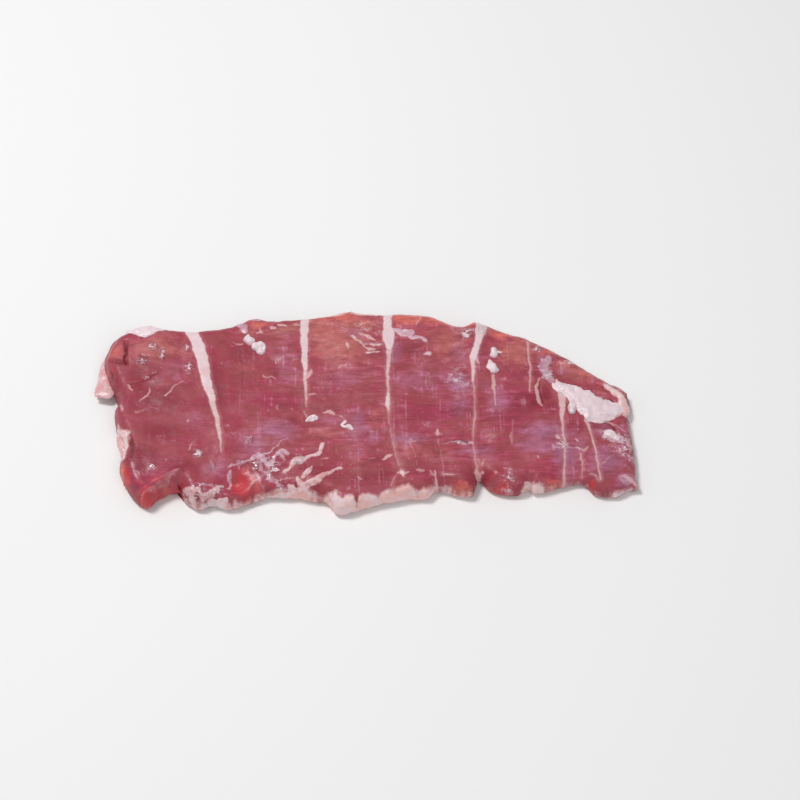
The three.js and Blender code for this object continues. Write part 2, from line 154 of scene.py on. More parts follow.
THREADS = (  # pale pink threads and bits of tendon
    (0.8, ((-99, 10.8, 0.3), (-97.5, 8.9, 0.4), (-96.8, 7.6, 0.5))),
    (0.7, ((-90, 8.7, 0.3), (-89.8, 6.5, 0.5), (-90.8, 4.5, 0.6), (-92.5, 3.2, 0.4), (-94, 2, 0.3))),
    (0.8, ((-83, 4.3, 0.4), (-81, 6.2, 0.5), (-80, 8.6, 0.5), (-78, 10.1, 0.4), (-75.3, 11.8, 0.3))),
    (0.5, ((-103.3, 7.9, 0.4), (-101.2, 8, 0.3))),
    (0.5, ((-94.8, -3.7, 0.7), (-91, -1.9, 0.5), (-90, -3.5, 0.3))),
    (0.7, ((-101.6, 0.7, 0.6), (-101, -1.4, 0.8), (-101.3, -2.7, 0.5))),
    (0.6, ((-73.2, -9.7, 0.5), (-73, -8.1, 0.7))),
    (0.6, ((-72, -24.2, 0.6), (-70.8, -20.4, 0.35))),
    (0.6, ((-81.5, -28.5, 0.3), (-81, -29.6, 0.4))),
    (0.6, ((-94, -33.9, 0.3), (-92.5, -35, 0.6))),
    (0.5, ((-63, -29.6, 0.5), (-62.2, -31.5, 0.9), (-61.5, -33.4, 0.4))),
    (0.9, ((-22.6, 13.8, 0.6), (-22, 15.2, 1), (-21.2, 16.4, 0.7), (-21, 18.2, 0.3))),
    (0.7, ((-22, 4.2, 0.8), (-20.5, 4.5, 0.8), (-19.6, 4.3, 0.4))),
    (0.4, ((-16.8, 11.9, 0.3), (-16.2, 6, 0.35), (-16, -1.8, 0.3))),
    (0.3, ((-6.1, 14.1, 0.3), (-6.2, 8.2, 0.3))),
    (0.6, ((-36.5, 24, 0.3), (-36, 22.2, 0.6), (-36, 21.3, 0.3))),
    (0.5, ((-33.3, 24.3, 0.3), (-32.8, 21.9, 0.6), (-32.8, 20.9, 0.3))),
    (0.7, ((-41.6, 14.9, 0.3), (-40.6, 13.8, 0.5), (-39.6, 13.4, 0.4), (-38.6, 14.1, 0.5),
           (-36, 13.1, 0.35))),
    (0.7, ((-9.9, 18.1, 0.5), (-9, 19.4, 0.6), (-8, 19.8, 0.3), (-7, 19.5, 0.6), (-6.2, 19.9, 0.4))),
    (0.6, ((-5.5, 31.1, 0.5), (-5, 28.3, 0.5))),
    (0.9, ((-38.3, 41.2, 1), (-36.8, 41, 0.8))),
    (0.9, ((-35.5, 42.9, 0.6), (-33.8, 42.2, 0.9), (-32, 41.5, 0.6))),
    (0.6, ((-28.3, 42, 1), (-27, 41.9, 1))),
    (0.8, ((-37, 46, 0.5), (-35, 45.6, 0.6))),
    (0.9, ((-43.2, 41.6, 0.3), (-43.2, 39.9, 0.5), (-44.9, 38.6, 0.4))),
    (0.9, ((-43.2, 39.9, 0.4), (-42.8, 38.9, 0.6))),
    (0.6, ((-55, 34.2, 0.4), (-53.5, 33, 0.5), (-51.5, 32.8, 0.8), (-50.8, 33.1, 0.5))),
    (0.35, ((-52.6, 28.2, 0.3), (-51.6, 21.9, 0.4), (-51, 17.6, 0.3))),
    (0.8, ((-24.9, -4.3, 0.3), (-23.8, -6, 0.5), (-23.4, -7, 0.4))),
    (0.9, ((-16, -5.2, 0.4), (-14.8, -4.6, 0.7), (-13.5, -4.7, 0.9), (-12, -5.5, 0.6))),
    (0.7, ((-10, -6.5, 0.4), (-9, -7.2, 0.5), (-8, -8.5, 0.3))),
    (0.6, ((-17.3, -30.1, 0.5), (-15.8, -29.5, 0.7), (-14.2, -29, 0.4))),
    (0.6, ((-3, -38.2, 0.4), (-1.6, -39.8, 0.8), (-0.9, -40, 0.4))),
    (0.5, ((-9.3, -34.3, 0.6), (-9.8, -30.9, 0.35), (-10.5, -27.4, 0.35), (-11.5, -24.3, 0.3))),
    (0.5, ((-35.8, -0.9, 0.4), (-35.3, -3.5, 0.5))),
    (0.5, ((-39.5, -3.7, 0.5), (-38.8, -3.9, 0.4))),
    (0.5, ((-30, -2.7, 0.5), (-29.3, -3.2, 0.5))),
    (0.8, ((14, -37.4, 0.4), (16, -37.3, 1), (18.8, -37.2, 0.4))),
    (1, ((8.5, -29.6, 0.6), (9.8, -28.8, 1), (11.3, -28.5, 0.7), (11.9, -28.3, 0.3))),
    (0.6, ((2, -28.8, 0.3), (1.7, -29.5, 0.4), (2.6, -29.9, 0.4), (5, -29.4, 0.4))),
    (0.4, ((7.3, -30.9, 0.3), (8, -35.8, 0.4), (8.3, -39.8, 0.4), (7.5, -41.7, 0.3))),
    (0.55, ((19.8, -20.8, 0.8), (20, -24.1, 0.4), (21.3, -30.1, 0.3), (22.5, -35.4, 0.35))),
    (0.5, ((18.8, -21.8, 0.4), (21.6, -21.5, 0.5))),
    (0.35, ((16.8, -16.2, 0.3), (16.8, -18.8, 0.4))),
    (0.6, ((21.8, -36.5, 0.6), (23.4, -36.7, 1.1), (24.4, -36.8, 0.8))),
    (0.5, ((26.3, -17.2, 0.3), (26.7, -19.3, 0.5))),
    (0.8, ((31.2, -15.4, 0.3), (31.2, -17.3, 1), (31.2, -18.9, 0.4))),
    (0.7, ((29.9, -17.8, 0.4), (32.4, -17.7, 0.4))),
    (0.5, ((31.2, -20.8, 0.5), (31.3, -23.7, 0.4), (32.5, -30.8, 0.4), (33, -39.4, 0.35),
           (33.2, -41, 0.35))),
    (0.6, ((27.2, -37.1, 0.7), (28.3, -38.4, 0.5))),
    (0.9, ((29.3, -37.1, 0.5), (30, -40.4, 0.5), (29.6, -41.7, 0.8), (30, -43, 0.6))),
    (0.6, ((26.6, 46.5, 0.6), (26, 45.3, 0.7), (24.8, 41.6, 0.6), (24, 39.9, 0.4))),
    (1, ((48.2, 22.4, 0.9), (49.6, 20.5, 0.7), (50.5, 18.9, 0.4))),
    (0.5, ((27.5, 13.2, 0.3), (27.5, 5.2, 0.4))),
    (0.3, ((39, 18.1, 0.3), (38.8, 14.1, 0.3))),
    (0.8, ((55.8, 12.2, 0.9), (55.7, 10.3, 0.7), (55.9, 8.3, 1), (56.1, 3.3, 0.5), (56.2, -3.9, 0.3))),
    (0.5, ((62.7, -12.2, 0.4), (62.3, -17.1, 0.35), (61.9, -20.4, 0.9), (61.8, -23.6, 0.5))),
    (0.35, ((59.5, -12.3, 0.3), (64, -12.1, 0.3))),
    (0.9, ((81, -19.4, 0.8), (81.8, -20.6, 0.9))),
    (0.8, ((72, -30.8, 0.6), (72.3, -31.3, 0.5))),
    (0.9, ((89, -20.9, 0.4), (89.5, -21.4, 0.6))),
    (0.7, ((88.8, -25.2, 0.4), (90.5, -26.4, 0.5), (91.6, -27.1, 0.8), (92.8, -26, 0.6),
           (93.2, -25, 0.4))),
    (0.35, ((63, 30, 0.4), (62.7, 22.1, 0.4), (62.4, 17.2, 0.35))),
    (0.9, ((75.3, 10.3, 0.3), (74.7, 8.2, 0.4), (74, 5.3, 0.6), (73.8, 2.3, 0.8), (74, -0.7, 0.9),
           (74.8, -2.7, 0.7), (76.2, -4.7, 0.4))),
    (0.9, ((106, -40.5, 0.4), (108, -41.5, 0.5), (110, -42.7, 0.5), (112, -43.7, 0.9))),
    (0.8, ((92.4, -42, 0.4), (91.3, -43.4, 0.5))),
    (0.5, ((98.5, -34.5, 0.7), (100, -33, 0.5), (103.5, -29, 0.4))),
    (0.8, ((108.3, -25.7, 0.5), (108.5, -26.7, 0.6))),
    (0.8, ((110.8, -21.5, 0.5), (111.1, -24, 0.7), (111, -26.1, 0.4))),
    (0.6, ((101, -11.8, 0.4), (104, -12.4, 0.7), (107, -14.3, 0.4), (110, -16.5, 0.4))),
    (1, ((-12, 47.8, 0.5), (-9, 48.3, 1.2), (-6.5, 49.6, 0.7))),
    (1, ((-4, 49.3, 0.4), (0, 48.8, 1.0), (4, 48.4, 0.7), (8, 47.4, 0.4))),
    (0.5, ((-109.2, 25.5, 0.5), (-107, 31.5, 0.5), (-104.2, 36.4, 0.5))),
    (0.35, ((-90.6, -45.2, 0.8), (-87.5, -43, 1), (-84, -40.5, 1), (-80.5, -38.3, 0.8),
            (-77, -36, 0.5))),
    (0.35, ((-42, 46.4, 0.8), (-34, 46.2, 1), (-27, 46.4, 0.8))),
    (0.45, ((15, 48, 0.9), (20, 48.2, 1.1), (31, 46, 1.1), (44, 40, 1))),
    (0.4, ((56, 40, 0.8), (65.5, 35, 0.8), (72, 33, 0.8), (81, 27.4, 0.8), (90, 20.9, 0.8),
           (104, 9.8, 0.8), (111.6, 3.6, 0.6))),
)
CRACKS = (  # dark lines where the meat parts or folds: a groove in the relief, darkened by painted shade
    (1, ((-100.8, 33.6, 0.2), (-100.7, 29.6, 0.55), (-100.5, 24.7, 0.65), (-100.1, 22.6, 0.4))),
    (0.7, ((-107.5, 25, 0.3), (-105.5, 24, 0.5), (-103.5, 22.6, 0.8), (-102, 23.2, 0.6),
           (-100.8, 23.9, 0.5))),
    (0.7, ((-106.5, 21.3, 0.3), (-106, 18.2, 0.7), (-106, 15.5, 0.5))),
    (0.9, ((-98.3, 11.1, 0.3), (-94, 12.3, 0.4), (-90.3, 14.1, 0.45), (-88.5, 15.9, 0.5),
           (-85, 18.6, 0.25))),
    (0.6, ((-94, 26.4, 0.5), (-92, 25.4, 0.9), (-90, 25.4, 0.6))),
    (0.45, ((-51.5, 29.2, 0.3), (-51, 25.1, 0.5), (-50.3, 17.6, 0.5), (-50, 9.2, 0.4))),
    (0.7, ((1.5, 31.7, 0.3), (2, 30, 0.4), (4.5, 28.6, 0.3))),
    (0.8, ((5.5, 27.5, 0.3), (7.5, 26.9, 0.6), (9, 27.9, 0.3))),
    (0.8, ((-96.3, -17, 0.6), (-95.3, -22, 1.1), (-96, -27, 0.6))),
    (0.8, ((-69.7, -45.4, 0.5), (-68.8, -46.2, 0.7))),
    (0.7, ((-73, -46, 0.4), (-70, -47.6, 0.4), (-67, -48, 0.3))),
    (0.8, ((-65.3, -46.7, 0.5), (-64, -45.7, 0.6), (-62, -45.1, 0.5), (-60.5, -45.7, 0.4))),
    (0.8, ((-45.8, -31.3, 0.3), (-44.6, -31.8, 0.4))),
    (0.6, ((-3, -46.6, 0.25), (-3, -48.8, 0.4), (-3, -51, 0.4))),
    (0.7, ((75.3, 7.8, 0.4), (75, 3.5, 0.5), (75.7, -0.4, 0.5), (77, -3.5, 0.3))),
    (0.8, ((95.5, -12.4, 0.5), (100.5, -11.8, 0.6), (103.5, -13.2, 0.5), (106, -15.8, 0.7))),
    (0.7, ((85.8, -0.9, 0.4), (86.3, -4.5, 0.5), (88, -7.9, 0.4))),
    (0.8, ((101, 0.5, 0.4), (102, -0.9, 0.6))),
    (0.8, ((105, 0.2, 0.3), (106, -0.8, 0.5))),
    (0.5, ((59, 23, 0.6), (60, 21.6, 0.5))),
    (0.7, ((-28.5, -39.7, 0.3), (-28.2, -41.5, 0.5), (-29, -42.2, 0.3))),
)
FILMS = (  # lilac films, whitest where they bunch up, and some painted highlights: streaks of wet glint
    (1, ((-53, 43.6, 1.5), (-50.5, 42, 2.2), (-49.7, 39.1, 0.9))),
    (1, ((-51, 45.6, 1.1), (-48, 46.1, 1.1), (-45, 46.7, 0.7), (-42, 46.6, 0.3))),
    (1, ((14.5, 39.5, 0.7), (17, 38.8, 1.4), (19.5, 37.3, 2.4), (21.6, 37, 2))),
    (1, ((21, 35.2, 1), (24, 34.2, 0.9), (27, 32.2, 0.9), (28.7, 30.7, 0.6), (29, 29.3, 0.3))),
    (1, ((26.9, 24.5, 0.6), (28.2, 24.9, 1), (29.8, 24.8, 1))),
    (0.9, ((-45.5, -28.6, 0.9), (-48.5, -29.3, 0.6), (-51, -30.8, 0.5), (-54, -31.6, 0.8),
           (-55, -32.8, 0.7))),
    (0.6, ((-48, -29.4, 0.4), (-50, -31.1, 0.5), (-51, -33, 0.4))),
    (0.8, ((-54.6, -35.1, 0.7), (-55.1, -37.2, 0.9), (-55, -39.1, 0.8), (-54.8, -42.4, 0.5))),
    (1, ((-45.8, -28, 1), (-43.5, -27.2, 1.6), (-41.8, -27.9, 1.3))),
    (0.9, ((-42, -28.6, 1), (-40.5, -30.1, 1), (-39.2, -31.7, 1), (-37.8, -30.1, 0.9),
           (-36.5, -27.7, 0.9), (-34.8, -25.4, 1), (-33.5, -24.4, 0.9), (-32.5, -25.8, 0.8),
           (-31, -26.2, 0.5))),
    (0.9, ((-34.3, -26.1, 0.7), (-33.6, -28.1, 0.8), (-32.8, -29.7, 0.5))),
    (0.8, ((-41.8, -26.6, 0.7), (-38, -24.1, 0.5), (-34.5, -20.8, 0.4), (-31, -18.6, 0.4))),
    (0.6, ((-43.5, -30, 1), (-42, -33, 1.2), (-40, -36.5, 1.2), (-38, -39.1, 1.1), (-35.5, -41, 1),
           (-33.5, -42.3, 0.8))),
    (0.5, ((-44.5, -34.9, 0.6), (-43, -38.8, 0.8), (-42, -41.5, 0.8))),
    (0.8, ((45.5, -15.3, 0.5), (44, -16.4, 0.4), (42.5, -17.3, 0.3))),
    # Painted highlights: the next three strokes are streaks of wet glint; the first is partly a film.
    (1, ((45.5, -22.9, 0.8), (43.5, -22.8, 0.7), (38.5, -22.4, 0.4), (34.4, -22.4, 0.2))),
    (0.8, ((79.5, -25.4, 0.2), (83, -25.4, 0.4), (87, -25.7, 0.4), (90.5, -26, 0.2))),
    (0.7, ((37.5, 8.1, 0.2), (41, 8, 0.45), (45, 7.9, 0.3))),
    (0.6, ((84, -22.2, 1), (84, -25.6, 1.2))),
    (0.5, ((78.8, -24.8, 1.1), (79.3, -26.5, 1))),
    (0.9, ((80.5, 22.1, 1.7), (80, 18.9, 1.3), (78.8, 16.2, 1.2))),
    (0.75, ((77.5, 21.5, 1), (77, 17, 1.3), (78.6, 12.5, 1.5), (81, 9.4, 1.3))),
    # Painted highlight: a wet glint.
    (0.6, ((35.4, 9.5, 0.9), (36.6, 9.8, 0.5))),
    (0.7, ((102.5, -16.8, 1.4), (104.5, -19.6, 2.6), (107.5, -21.4, 1.6))),
    # Painted highlight: a wet glint.
    (0.6, ((43.5, 7.9, 0.5), (44.7, 8.1, 0.8))),
    (0.3, ((40.5, 17, 2), (41.5, 10, 3.2), (41.5, 2, 3), (40.5, -5, 2))),
    (0.7, ((2, 31.2, 0.8), (4, 31.6, 0.7), (7.5, 31.6, 0.3))),
    (0.55, ((106.5, -41.5, 2), (109, -43, 2.2))),
    (0.35, ((110, -35.8, 1), (110.5, -38.5, 1))),
    (0.5, ((85.5, 19.1, 0.8), (86, 15.1, 0.9), (85.8, 13.1, 0.9))),
    (0.35, ((-90.6, -45.2, 0.9), (-87.5, -43, 1.2), (-84, -40.5, 1.1), (-80.5, -38.3, 1),
            (-77.5, -36.4, 0.9), (-75.3, -34.4, 0.4))),
    (0.4, ((-100.5, -33, 0.4), (-99.2, -36.5, 0.4), (-96, -42.5, 0.4), (-92.5, -46.3, 0.5))),
)
STRANDS = (  # pinkish fat that stands up from the top
    (1, ((-32.6, -35.4, 0.9), (-31.8, -34.4, 0.7), (-30.6, -33.2, 0.6), (-29.4, -31.8, 1.1),
         (-28.5, -30.5, 1.6), (-27.3, -29.6, 2.2), (-25.8, -29.2, 2.1), (-24.4, -28.9, 1.3),
         (-22.8, -28, 1), (-20.5, -27.3, 1), (-18.6, -26.5, 1.1), (-17.6, -25, 1), (-17.2, -23.2, 1),
         (-17, -21.9, 0.9))),
    (1, ((-25.2, -38.2, 1), (-24, -36.9, 1.3), (-22.8, -35.4, 1.1), (-21.8, -34.2, 0.9),
         (-21.3, -33.4, 0.4))),
    (1, ((-24.5, -42.3, 1.4), (-22.5, -41.6, 1.6), (-20.5, -40.8, 1.5), (-18.6, -39.9, 1.5),
         (-17, -38.7, 1.2), (-15, -37.2, 1), (-13, -36, 0.9), (-11, -35, 0.6), (-9.3, -34.3, 0.7))),
    (1, ((-27.4, -38.5, 0.8), (-26.7, -40.2, 1.3), (-25.9, -42, 1.7), (-25, -43.8, 2),
         (-24, -45.5, 1.8))),
    (0.8, ((-31.5, -41.5, 0.6), (-29.8, -42.1, 1), (-28.3, -43.6, 0.9))),
    (0.9, ((-74, -42, 0.9), (-72.5, -42.9, 1.3), (-70.5, -44.2, 1.4), (-69, -43.4, 0.9),
           (-68, -43.3, 0.8))),
    (0.8, ((-71, -45.4, 1.2), (-70, -46.8, 1))),
    (0.9, ((-68, -44.6, 0.7), (-67.2, -45.5, 0.9), (-66.5, -46.2, 0.8), (-65, -45.3, 1),
           (-63.5, -44.4, 0.8), (-62, -44.1, 0.7), (-61, -42.7, 0.7), (-60, -42, 0.8),
           (-58, -41.5, 0.6))),
    (0.9, ((-63, -46.4, 1.1), (-62, -46.9, 1.3), (-60, -47.2, 1.1), (-57, -47.4, 1))),
    (1, ((-3.8, 35.2, 0.3), (-2, 33.7, 0.7), (0, 31.8, 0.6), (2, 29.4, 0.5), (4, 28.4, 0.7),
         (6, 27.9, 0.4))),
    (1, ((-1, 37.6, 0.3), (1.5, 36.4, 0.7), (4, 34.8, 0.8), (6.5, 33.2, 0.4))),
    (0.9, ((2.4, 26.8, 0.3), (5, 26.3, 0.5), (8, 26.6, 0.4))),
    (1, ((4.5, 31, 0.4), (6.5, 30.2, 0.7), (8.5, 30.5, 0.4))),
    (1, ((-6, 31.4, 0.3), (-5.4, 29.6, 0.35))),
    (1, ((45.8, -35.4, 0.5), (46.8, -37, 1.2), (47.2, -38.4, 1.2))),
    (1, ((48, -37.4, 0.5), (48.9, -37.1, 0.6))),
    (0.9, ((66.3, -43, 0.8), (68, -42.9, 1), (70.5, -44.7, 1.3), (73, -44.2, 0.9))),
)

# ---- Fat flush with the top: x, y and half width along each ----

FAT_AREAS = (
    ((-103.5, 38.8, 0.6), (-98, 40.6, 1), (-94, 41.5, 2), (-88.6, 41, 1.6), (-84, 40.4, 0.4)),
    ((-102.8, -9, 0.5), (-101, -12.6, 1.4), (-99.6, -15.5, 2.3), (-98.6, -20, 1.5), (-98.6, -26, 0.6)),
    ((83.3, 9.8, 0.5), (84.5, 6, 1), (88.5, 3.5, 2)),
    ((88.5, 3.5, 2), (93.5, -3, 4), (98, -5.8, 4.4), (102, -6.6, 3.4), (107, -5.8, 2.8)),
    ((103.6, 8, 0.6), (105.5, 6.2, 1.3), (107.5, 4.6, 1.2)),
    ((108, 3.4, 1.7), (110.2, 0.6, 2.1), (110.9, -3.4, 2.3), (110.7, -6.4, 1.8)),
)
MIDDLE_Y = 3.0  # between the front rim's fat and the back rim's
RIM_FAT_SPAN = (-97, 112)  # x where the rims' fat starts and ends
# How far the rim's fat reaches in from the outline: x, reach. Below 0 only its tufts show, if any.
FRONT_FAT = (
    (-93, -1), (-79, -1), (-75, -1), (-70, -0.2), (-65, 0.2), (-60, 0.2), (-54, 0.3), (-49, -0.4),
    (-40, 0), (-35, 1.4), (-30, 1.4), (-26, 1.4), (-21, 0.6), (-16, 0.7), (-13.5, 2), (-12, 3.7),
    (-4.4, 3.8), (-3.3, 0.4), (-2.2, 3), (0, 2.3), (5, 1.6), (7.5, 2.5), (12, 2.2), (17.5, 3.1),
    (20, 2), (22, 1), (24, 1.6), (26, 2), (28, 1.2), (31, 0.4), (37, 0.2), (43, 0.2), (45, -1),
    (50, -2), (54, -1.4), (64, -0.5), (66.5, 1.2), (72, 1.3), (75, -0.4), (82, 0.2), (90, -0.8),
    (97, -0.4), (104, 0.4), (110, 0.2),
)
BACK_FAT = (
    (-102, 0), (-98, 1), (-84, 1), (-81, -2), (-56, -2), (-51, 0), (-38, -1), (-13, -1), (-11.5, 3.2),
    (-6.5, 3.2), (-5, 0), (-4, 3), (6, 3), (9, -1), (50, -2), (57, 0.4), (75, 0.7), (82, 0.2), (100, 0),
    (106, 0.6), (113, 0.8),
)

# ---- Soft patches of colour: x, y, radius along x, radius along y, strength ----

TINTS = {
    "warm": (  # brownish
        (-8, 32, 15, 13, 0.9), (-17, -16, 10, 5, 0.5), (-50, 20, 6, 14, 0.45), (-86, 29, 13, 8, 0.75),
        (-18, 40, 7, 6, 0.9), (37, 30, 10, 9, 0.8), (66, 24, 9, 9, 0.9), (5, -9, 5, 8, 0.5),
        (25, -27, 14, 4, 0.45), (90, 14, 9, 6, 0.8), (-47, 40, 6, 4, 0.6), (-33, 40, 8, 4, 1),
        (-2, 41, 9, 5, 1), (43, 38, 6, 4, 1), (101, 3, 5, 4, 0.7),
    ),
    "orange": (  # thin and lit through, along the rims
        (22, 45.5, 10, 4, 1), (36, 44, 10, 4, 1), (48, 41, 6, 2.5, 0.9), (60, 35.5, 8, 5, 0.75),
        (72, 31, 6, 3, 0.5), (81, 26, 7, 2.5, 0.6), (90, 19.5, 7, 2.5, 0.6), (98, 13.5, 6, 2.5, 0.6),
        (-44, 43, 7, 4, 0.7), (-10, 47, 12, 3.5, 0.7), (3, 42, 6, 5, 0.6), (-63, 41, 6, 3, 0.6),
        (-105, 28.5, 4, 4, 0.7), (-109, 18, 2, 6, 0.6), (40, -44.5, 7, 2.5, 1), (51, -42.5, 3, 2, 0.6),
        (79, -42.5, 6, 2, 0.7), (-99.5, -33, 2.5, 6, 0.8), (-90, -47.5, 5, 2, 1), (102.5, 8, 4, 3, 0.4),
        (-44, -41, 4, 4, 0.75), (-85, -44.3, 4, 1.6, 0.9), (-79, -41.2, 5, 1.6, 0.9),
    ),
    "dark": (  # deep red; over the hollows, valleys and pit it is partly painted shade
        (-104, 11, 3.5, 10, 0.7), (-92, 14, 8, 10, 1.1), (-91, -28, 8, 8, 1.05), (-76, -32, 7, 4, 0.85),
        (-51, 27, 8, 8, 0.8), (22, 28, 7.5, 5, 0.9), (-13, 13, 4, 3, 0.6), (4, -39, 15, 5, 0.75),
        (-18, -35, 4, 3, 0.8), (-25, -33.5, 3, 2, 0.9), (-20, -37, 3, 1.5, 0.9), (-19, -43, 3, 2, 0.7),
        (22, -9, 8, 4, 0.5), (40, -39, 7, 5, 0.5), (78, 2.5, 2.8, 5, 1), (80, -4, 5, 5, 0.6),
        (89, -16, 4, 5, 0.6), (97.5, -15, 4, 3, 0.6), (-70, -34, 5, 4, 0.4), (-62, 34, 5, 6, 0.4),
        (-86, 2, 15, 9, 0.9), (-84, -14, 14, 8, 0.75), (-62, 6, 6, 16, 0.9), (-53, 12, 7, 18, 0.5),
        (10, -17, 16, 3, 0.4), (73, -6, 12, 3, 0.5), (69, -3, 8, 6, 1), (97, -39, 6, 4, 0.9),
        (53, -10, 6, 6, 0.4), (53, -38, 6, 3, 0.7),
    ),
    "magenta": (
        (-39, 0, 6, 7, 0.9), (-29, 2, 5, 6, 0.5), (68, 0, 9, 7, 1), (-35.2, -32, 3.5, 4.5, 1.3),
        (-91, -38, 6, 6, 1.2), (-86, -32, 11, 5, 1.3), (55, -21, 9, 1.4, 0.8), (40, -19, 7, 1.2, 0.6),
        (93, -32, 4, 5, 0.5), (62, -15, 8, 8, 0.5), (32, -6, 14, 5, 1),
    ),
    "veil_and_sheen": (  # a thin lilac film over the meat, partly painted sheen: the wet top's lilac reflection drawn as colour
        (-35, -14, 10, 6, 0.9), (-45, -22, 7, 7, 0.8), (-2, -12, 5, 10, 0.8), (-13, -9, 12, 6, 0.45),
        (-6, 10, 12, 10, 0.3), (-33, 20, 6, 15, 0.5), (-79, 19, 6, 8, 0.5), (-70, -9, 5, 9, 0.4),
        (-85, -27, 8, 4, 0.3), (19, -20.5, 10, 2.4, 0.9), (5, -20, 6, 4, 0.55), (48, -26.5, 10, 3, 0.8),
        (53, -30, 3, 7, 0.4), (41, 8, 6, 5, 1.1), (41, -4, 6, 6, 0.75), (84, -29, 6, 8, 1.2),
        (86, 14, 5, 3, 0.6), (57, -2, 5, 9, 0.8), (76, -18, 12, 6, 1), (72, -23, 11, 6, 0.8),
        (52, 22, 4, 8, 0.4), (101, -32, 9, 9, 1), (101, -17, 7, 6, 0.8), (100, 0, 6, 5, 0.6),
        (107, -42, 5, 4, 1), (110, -18, 3, 15, 0.5), (77, 17, 3, 7, 0.7), (105, -26, 6, 5, 0.6),
        (-62, -33, 5, 5, 0.75), (14, 25, 5, 8, 0.8), (43, 38, 5, 3, 0.6), (42, 25, 5, 6, 0.6),
        (-2, 37, 6, 5, 0.6), (-32, 38, 6, 3, 0.5), (-40, -37, 3, 4, 0.7), (32, 12, 8, 6, 0.5),
        (90, -24, 5, 7, 0.7), (24, 10, 14, 9, 0.6),
    ),
    "fresh_and_lit": (  # bright cut muscle; on the walls at the front it is partly painted light, brightening walls that face away from the lamps
        (-49.5, -40, 6, 8, 1.05), (-97.5, -35, 2.5, 5, 0.9), (-89, -45, 6, 4, 1),
        (-84.5, -43, 5, 3, 0.9), (-77, -42, 4, 4, 0.9), (-93, 11, 6, 8, 0.38), (54, -38, 7, 3, 0.5),
        (-18, -36, 5, 3, 0.5), (-105, 19, 3, 5, 0.5), (-46, -42.5, 5, 3, 0.7), (57, -44, 9, 3, 0.6),
        (76, -41, 9, 2.5, 0.4), (-84, -39, 7, 3, 0.6), (93.5, -43, 2.2, 2.4, 1),
        (39, -42.5, 4, 1.5, 0.6), (-38, -41, 3, 2, 0.7), (-92, -39, 5, 5, 0.55),
    ),
    "wet": (  # crinkled and glossy, and painted with a sheen and white glints on the crinkles
        (-89, 30.5, 2, 2, 1), (-85, 26, 1.5, 4, 0.8), (-93, 23, 3, 2, 0.6), (-74.8, 30, 1.5, 2, 0.9),
        (-73, 19, 2.2, 2.6, 1), (-68.5, -26, 2, 2.2, 1), (-62, -32, 1, 2, 0.7),
        (-47, -18.8, 1.7, 1.7, 0.9), (-44.7, -32, 1.4, 2.5, 1), (-87, -31.5, 1, 1, 0.7),
        (-34.5, -41, 2, 2, 0.9), (40, -22, 3, 0.8, 1), (83, -24, 2.5, 3, 0.7), (103, -19, 3, 3, 0.8),
        (2, 41, 7, 4, 0.45), (-50, -30, 4, 1.5, 0.7), (-40, -29, 3, 2, 0.6), (-37, -34, 3, 4, 0.6),
        (52, 36, 3, 4, 0.7), (46, 35, 2.5, 2.5, 0.8), (41, 10, 5, 6, 0.42), (76, 27, 2, 2, 0.8),
        (79, 19, 4, 4, 0.5), (79.5, 12, 3, 3, 0.6), (89.5, 20, 2.5, 1.5, 0.8), (109, -24, 4, 8, 0.6),
        (60, -41, 3, 5, 0.4), (-66, -44, 9, 4, 0.6), (-27, -29, 3, 3, 0.5),
    ),
    "specks": (  # scattered with pale crumbs
        (104, -24, 6, 8, 1), (60, -41, 3.5, 6, 0.8), (1, 42, 8, 5, 0.8), (-90, 27, 9, 6, 0.35),
        (93, -23, 4, 5, 0.4), (42, 18, 6, 8, 0.35),
    ),
}


def tone(red, green, blue):
    """A screen colour of 0 to 255 a channel as linear light."""
    return tuple(
        c / 12.92 if c <= 0.04045 else ((c + 0.055) / 1.055) ** 2.4
        for c in (red / 255, green / 255, blue / 255)
    )


# ---------------------------------------------------------------- numbers over a plan


def smooth_curve(points, at):
    """The second coordinate at each value of the first: a cubic between neighbours, whose slope at
    each point is that of the line between its two neighbours."""
    place, value = np.array(points, float).T
    slope = np.empty_like(value)
    slope[1:-1] = (value[2:] - value[:-2]) / (place[2:] - place[:-2])
    slope[0] = (value[1] - value[0]) / (place[1] - place[0])
    slope[-1] = (value[-1] - value[-2]) / (place[-1] - place[-2])
    i = np.clip(np.searchsorted(place, at) - 1, 0, len(place) - 2)
    span = place[i + 1] - place[i]
    t = np.clip((at - place[i]) / span, 0, 1)
    rise = 3 * t**2 - 2 * t**3
    return (
        value[i] * (1 - rise) + value[i + 1] * rise
        + span * (slope[i] * (t**3 - 2 * t**2 + t) + slope[i + 1] * (t**3 - t**2))
    )


def plan_point(u, v):
    """Plan x and y at u along and v across, from 0 to 1: the front and back edges blended across,
    plus the two ends blended along, less the flat blend of the four corners, so that each edge is
    met where u or v is 0 or 1."""
    corners = np.array((FRONT_LEFT, FRONT_RIGHT, BACK_LEFT, BACK_RIGHT), float)

    def blend(a, b, t):
        return a + (b - a) * t

    front_x, back_x = blend(corners[0, 0], corners[1, 0], u), blend(corners[2, 0], corners[3, 0], u)
    left_y, right_y = blend(corners[0, 1], corners[2, 1], v), blend(corners[1, 1], corners[3, 1], v)
    left_end, right_end = ([(y, x) for x, y in end] for end in (LEFT_END, RIGHT_END))
    left_x, right_x = smooth_curve(left_end, left_y), smooth_curve(right_end, right_y)
    front_y, back_y = smooth_curve(FRONT_EDGE, front_x), smooth_curve(BACK_EDGE, back_x)
    flat_front_y = blend(corners[0, 1], corners[1, 1], u)
    flat_back_y = blend(corners[2, 1], corners[3, 1], u)
    x = blend(left_x, right_x, u)
    y = blend(front_y, back_y, v) + blend(left_y, right_y, u) - blend(flat_front_y, flat_back_y, v)
    return x, y


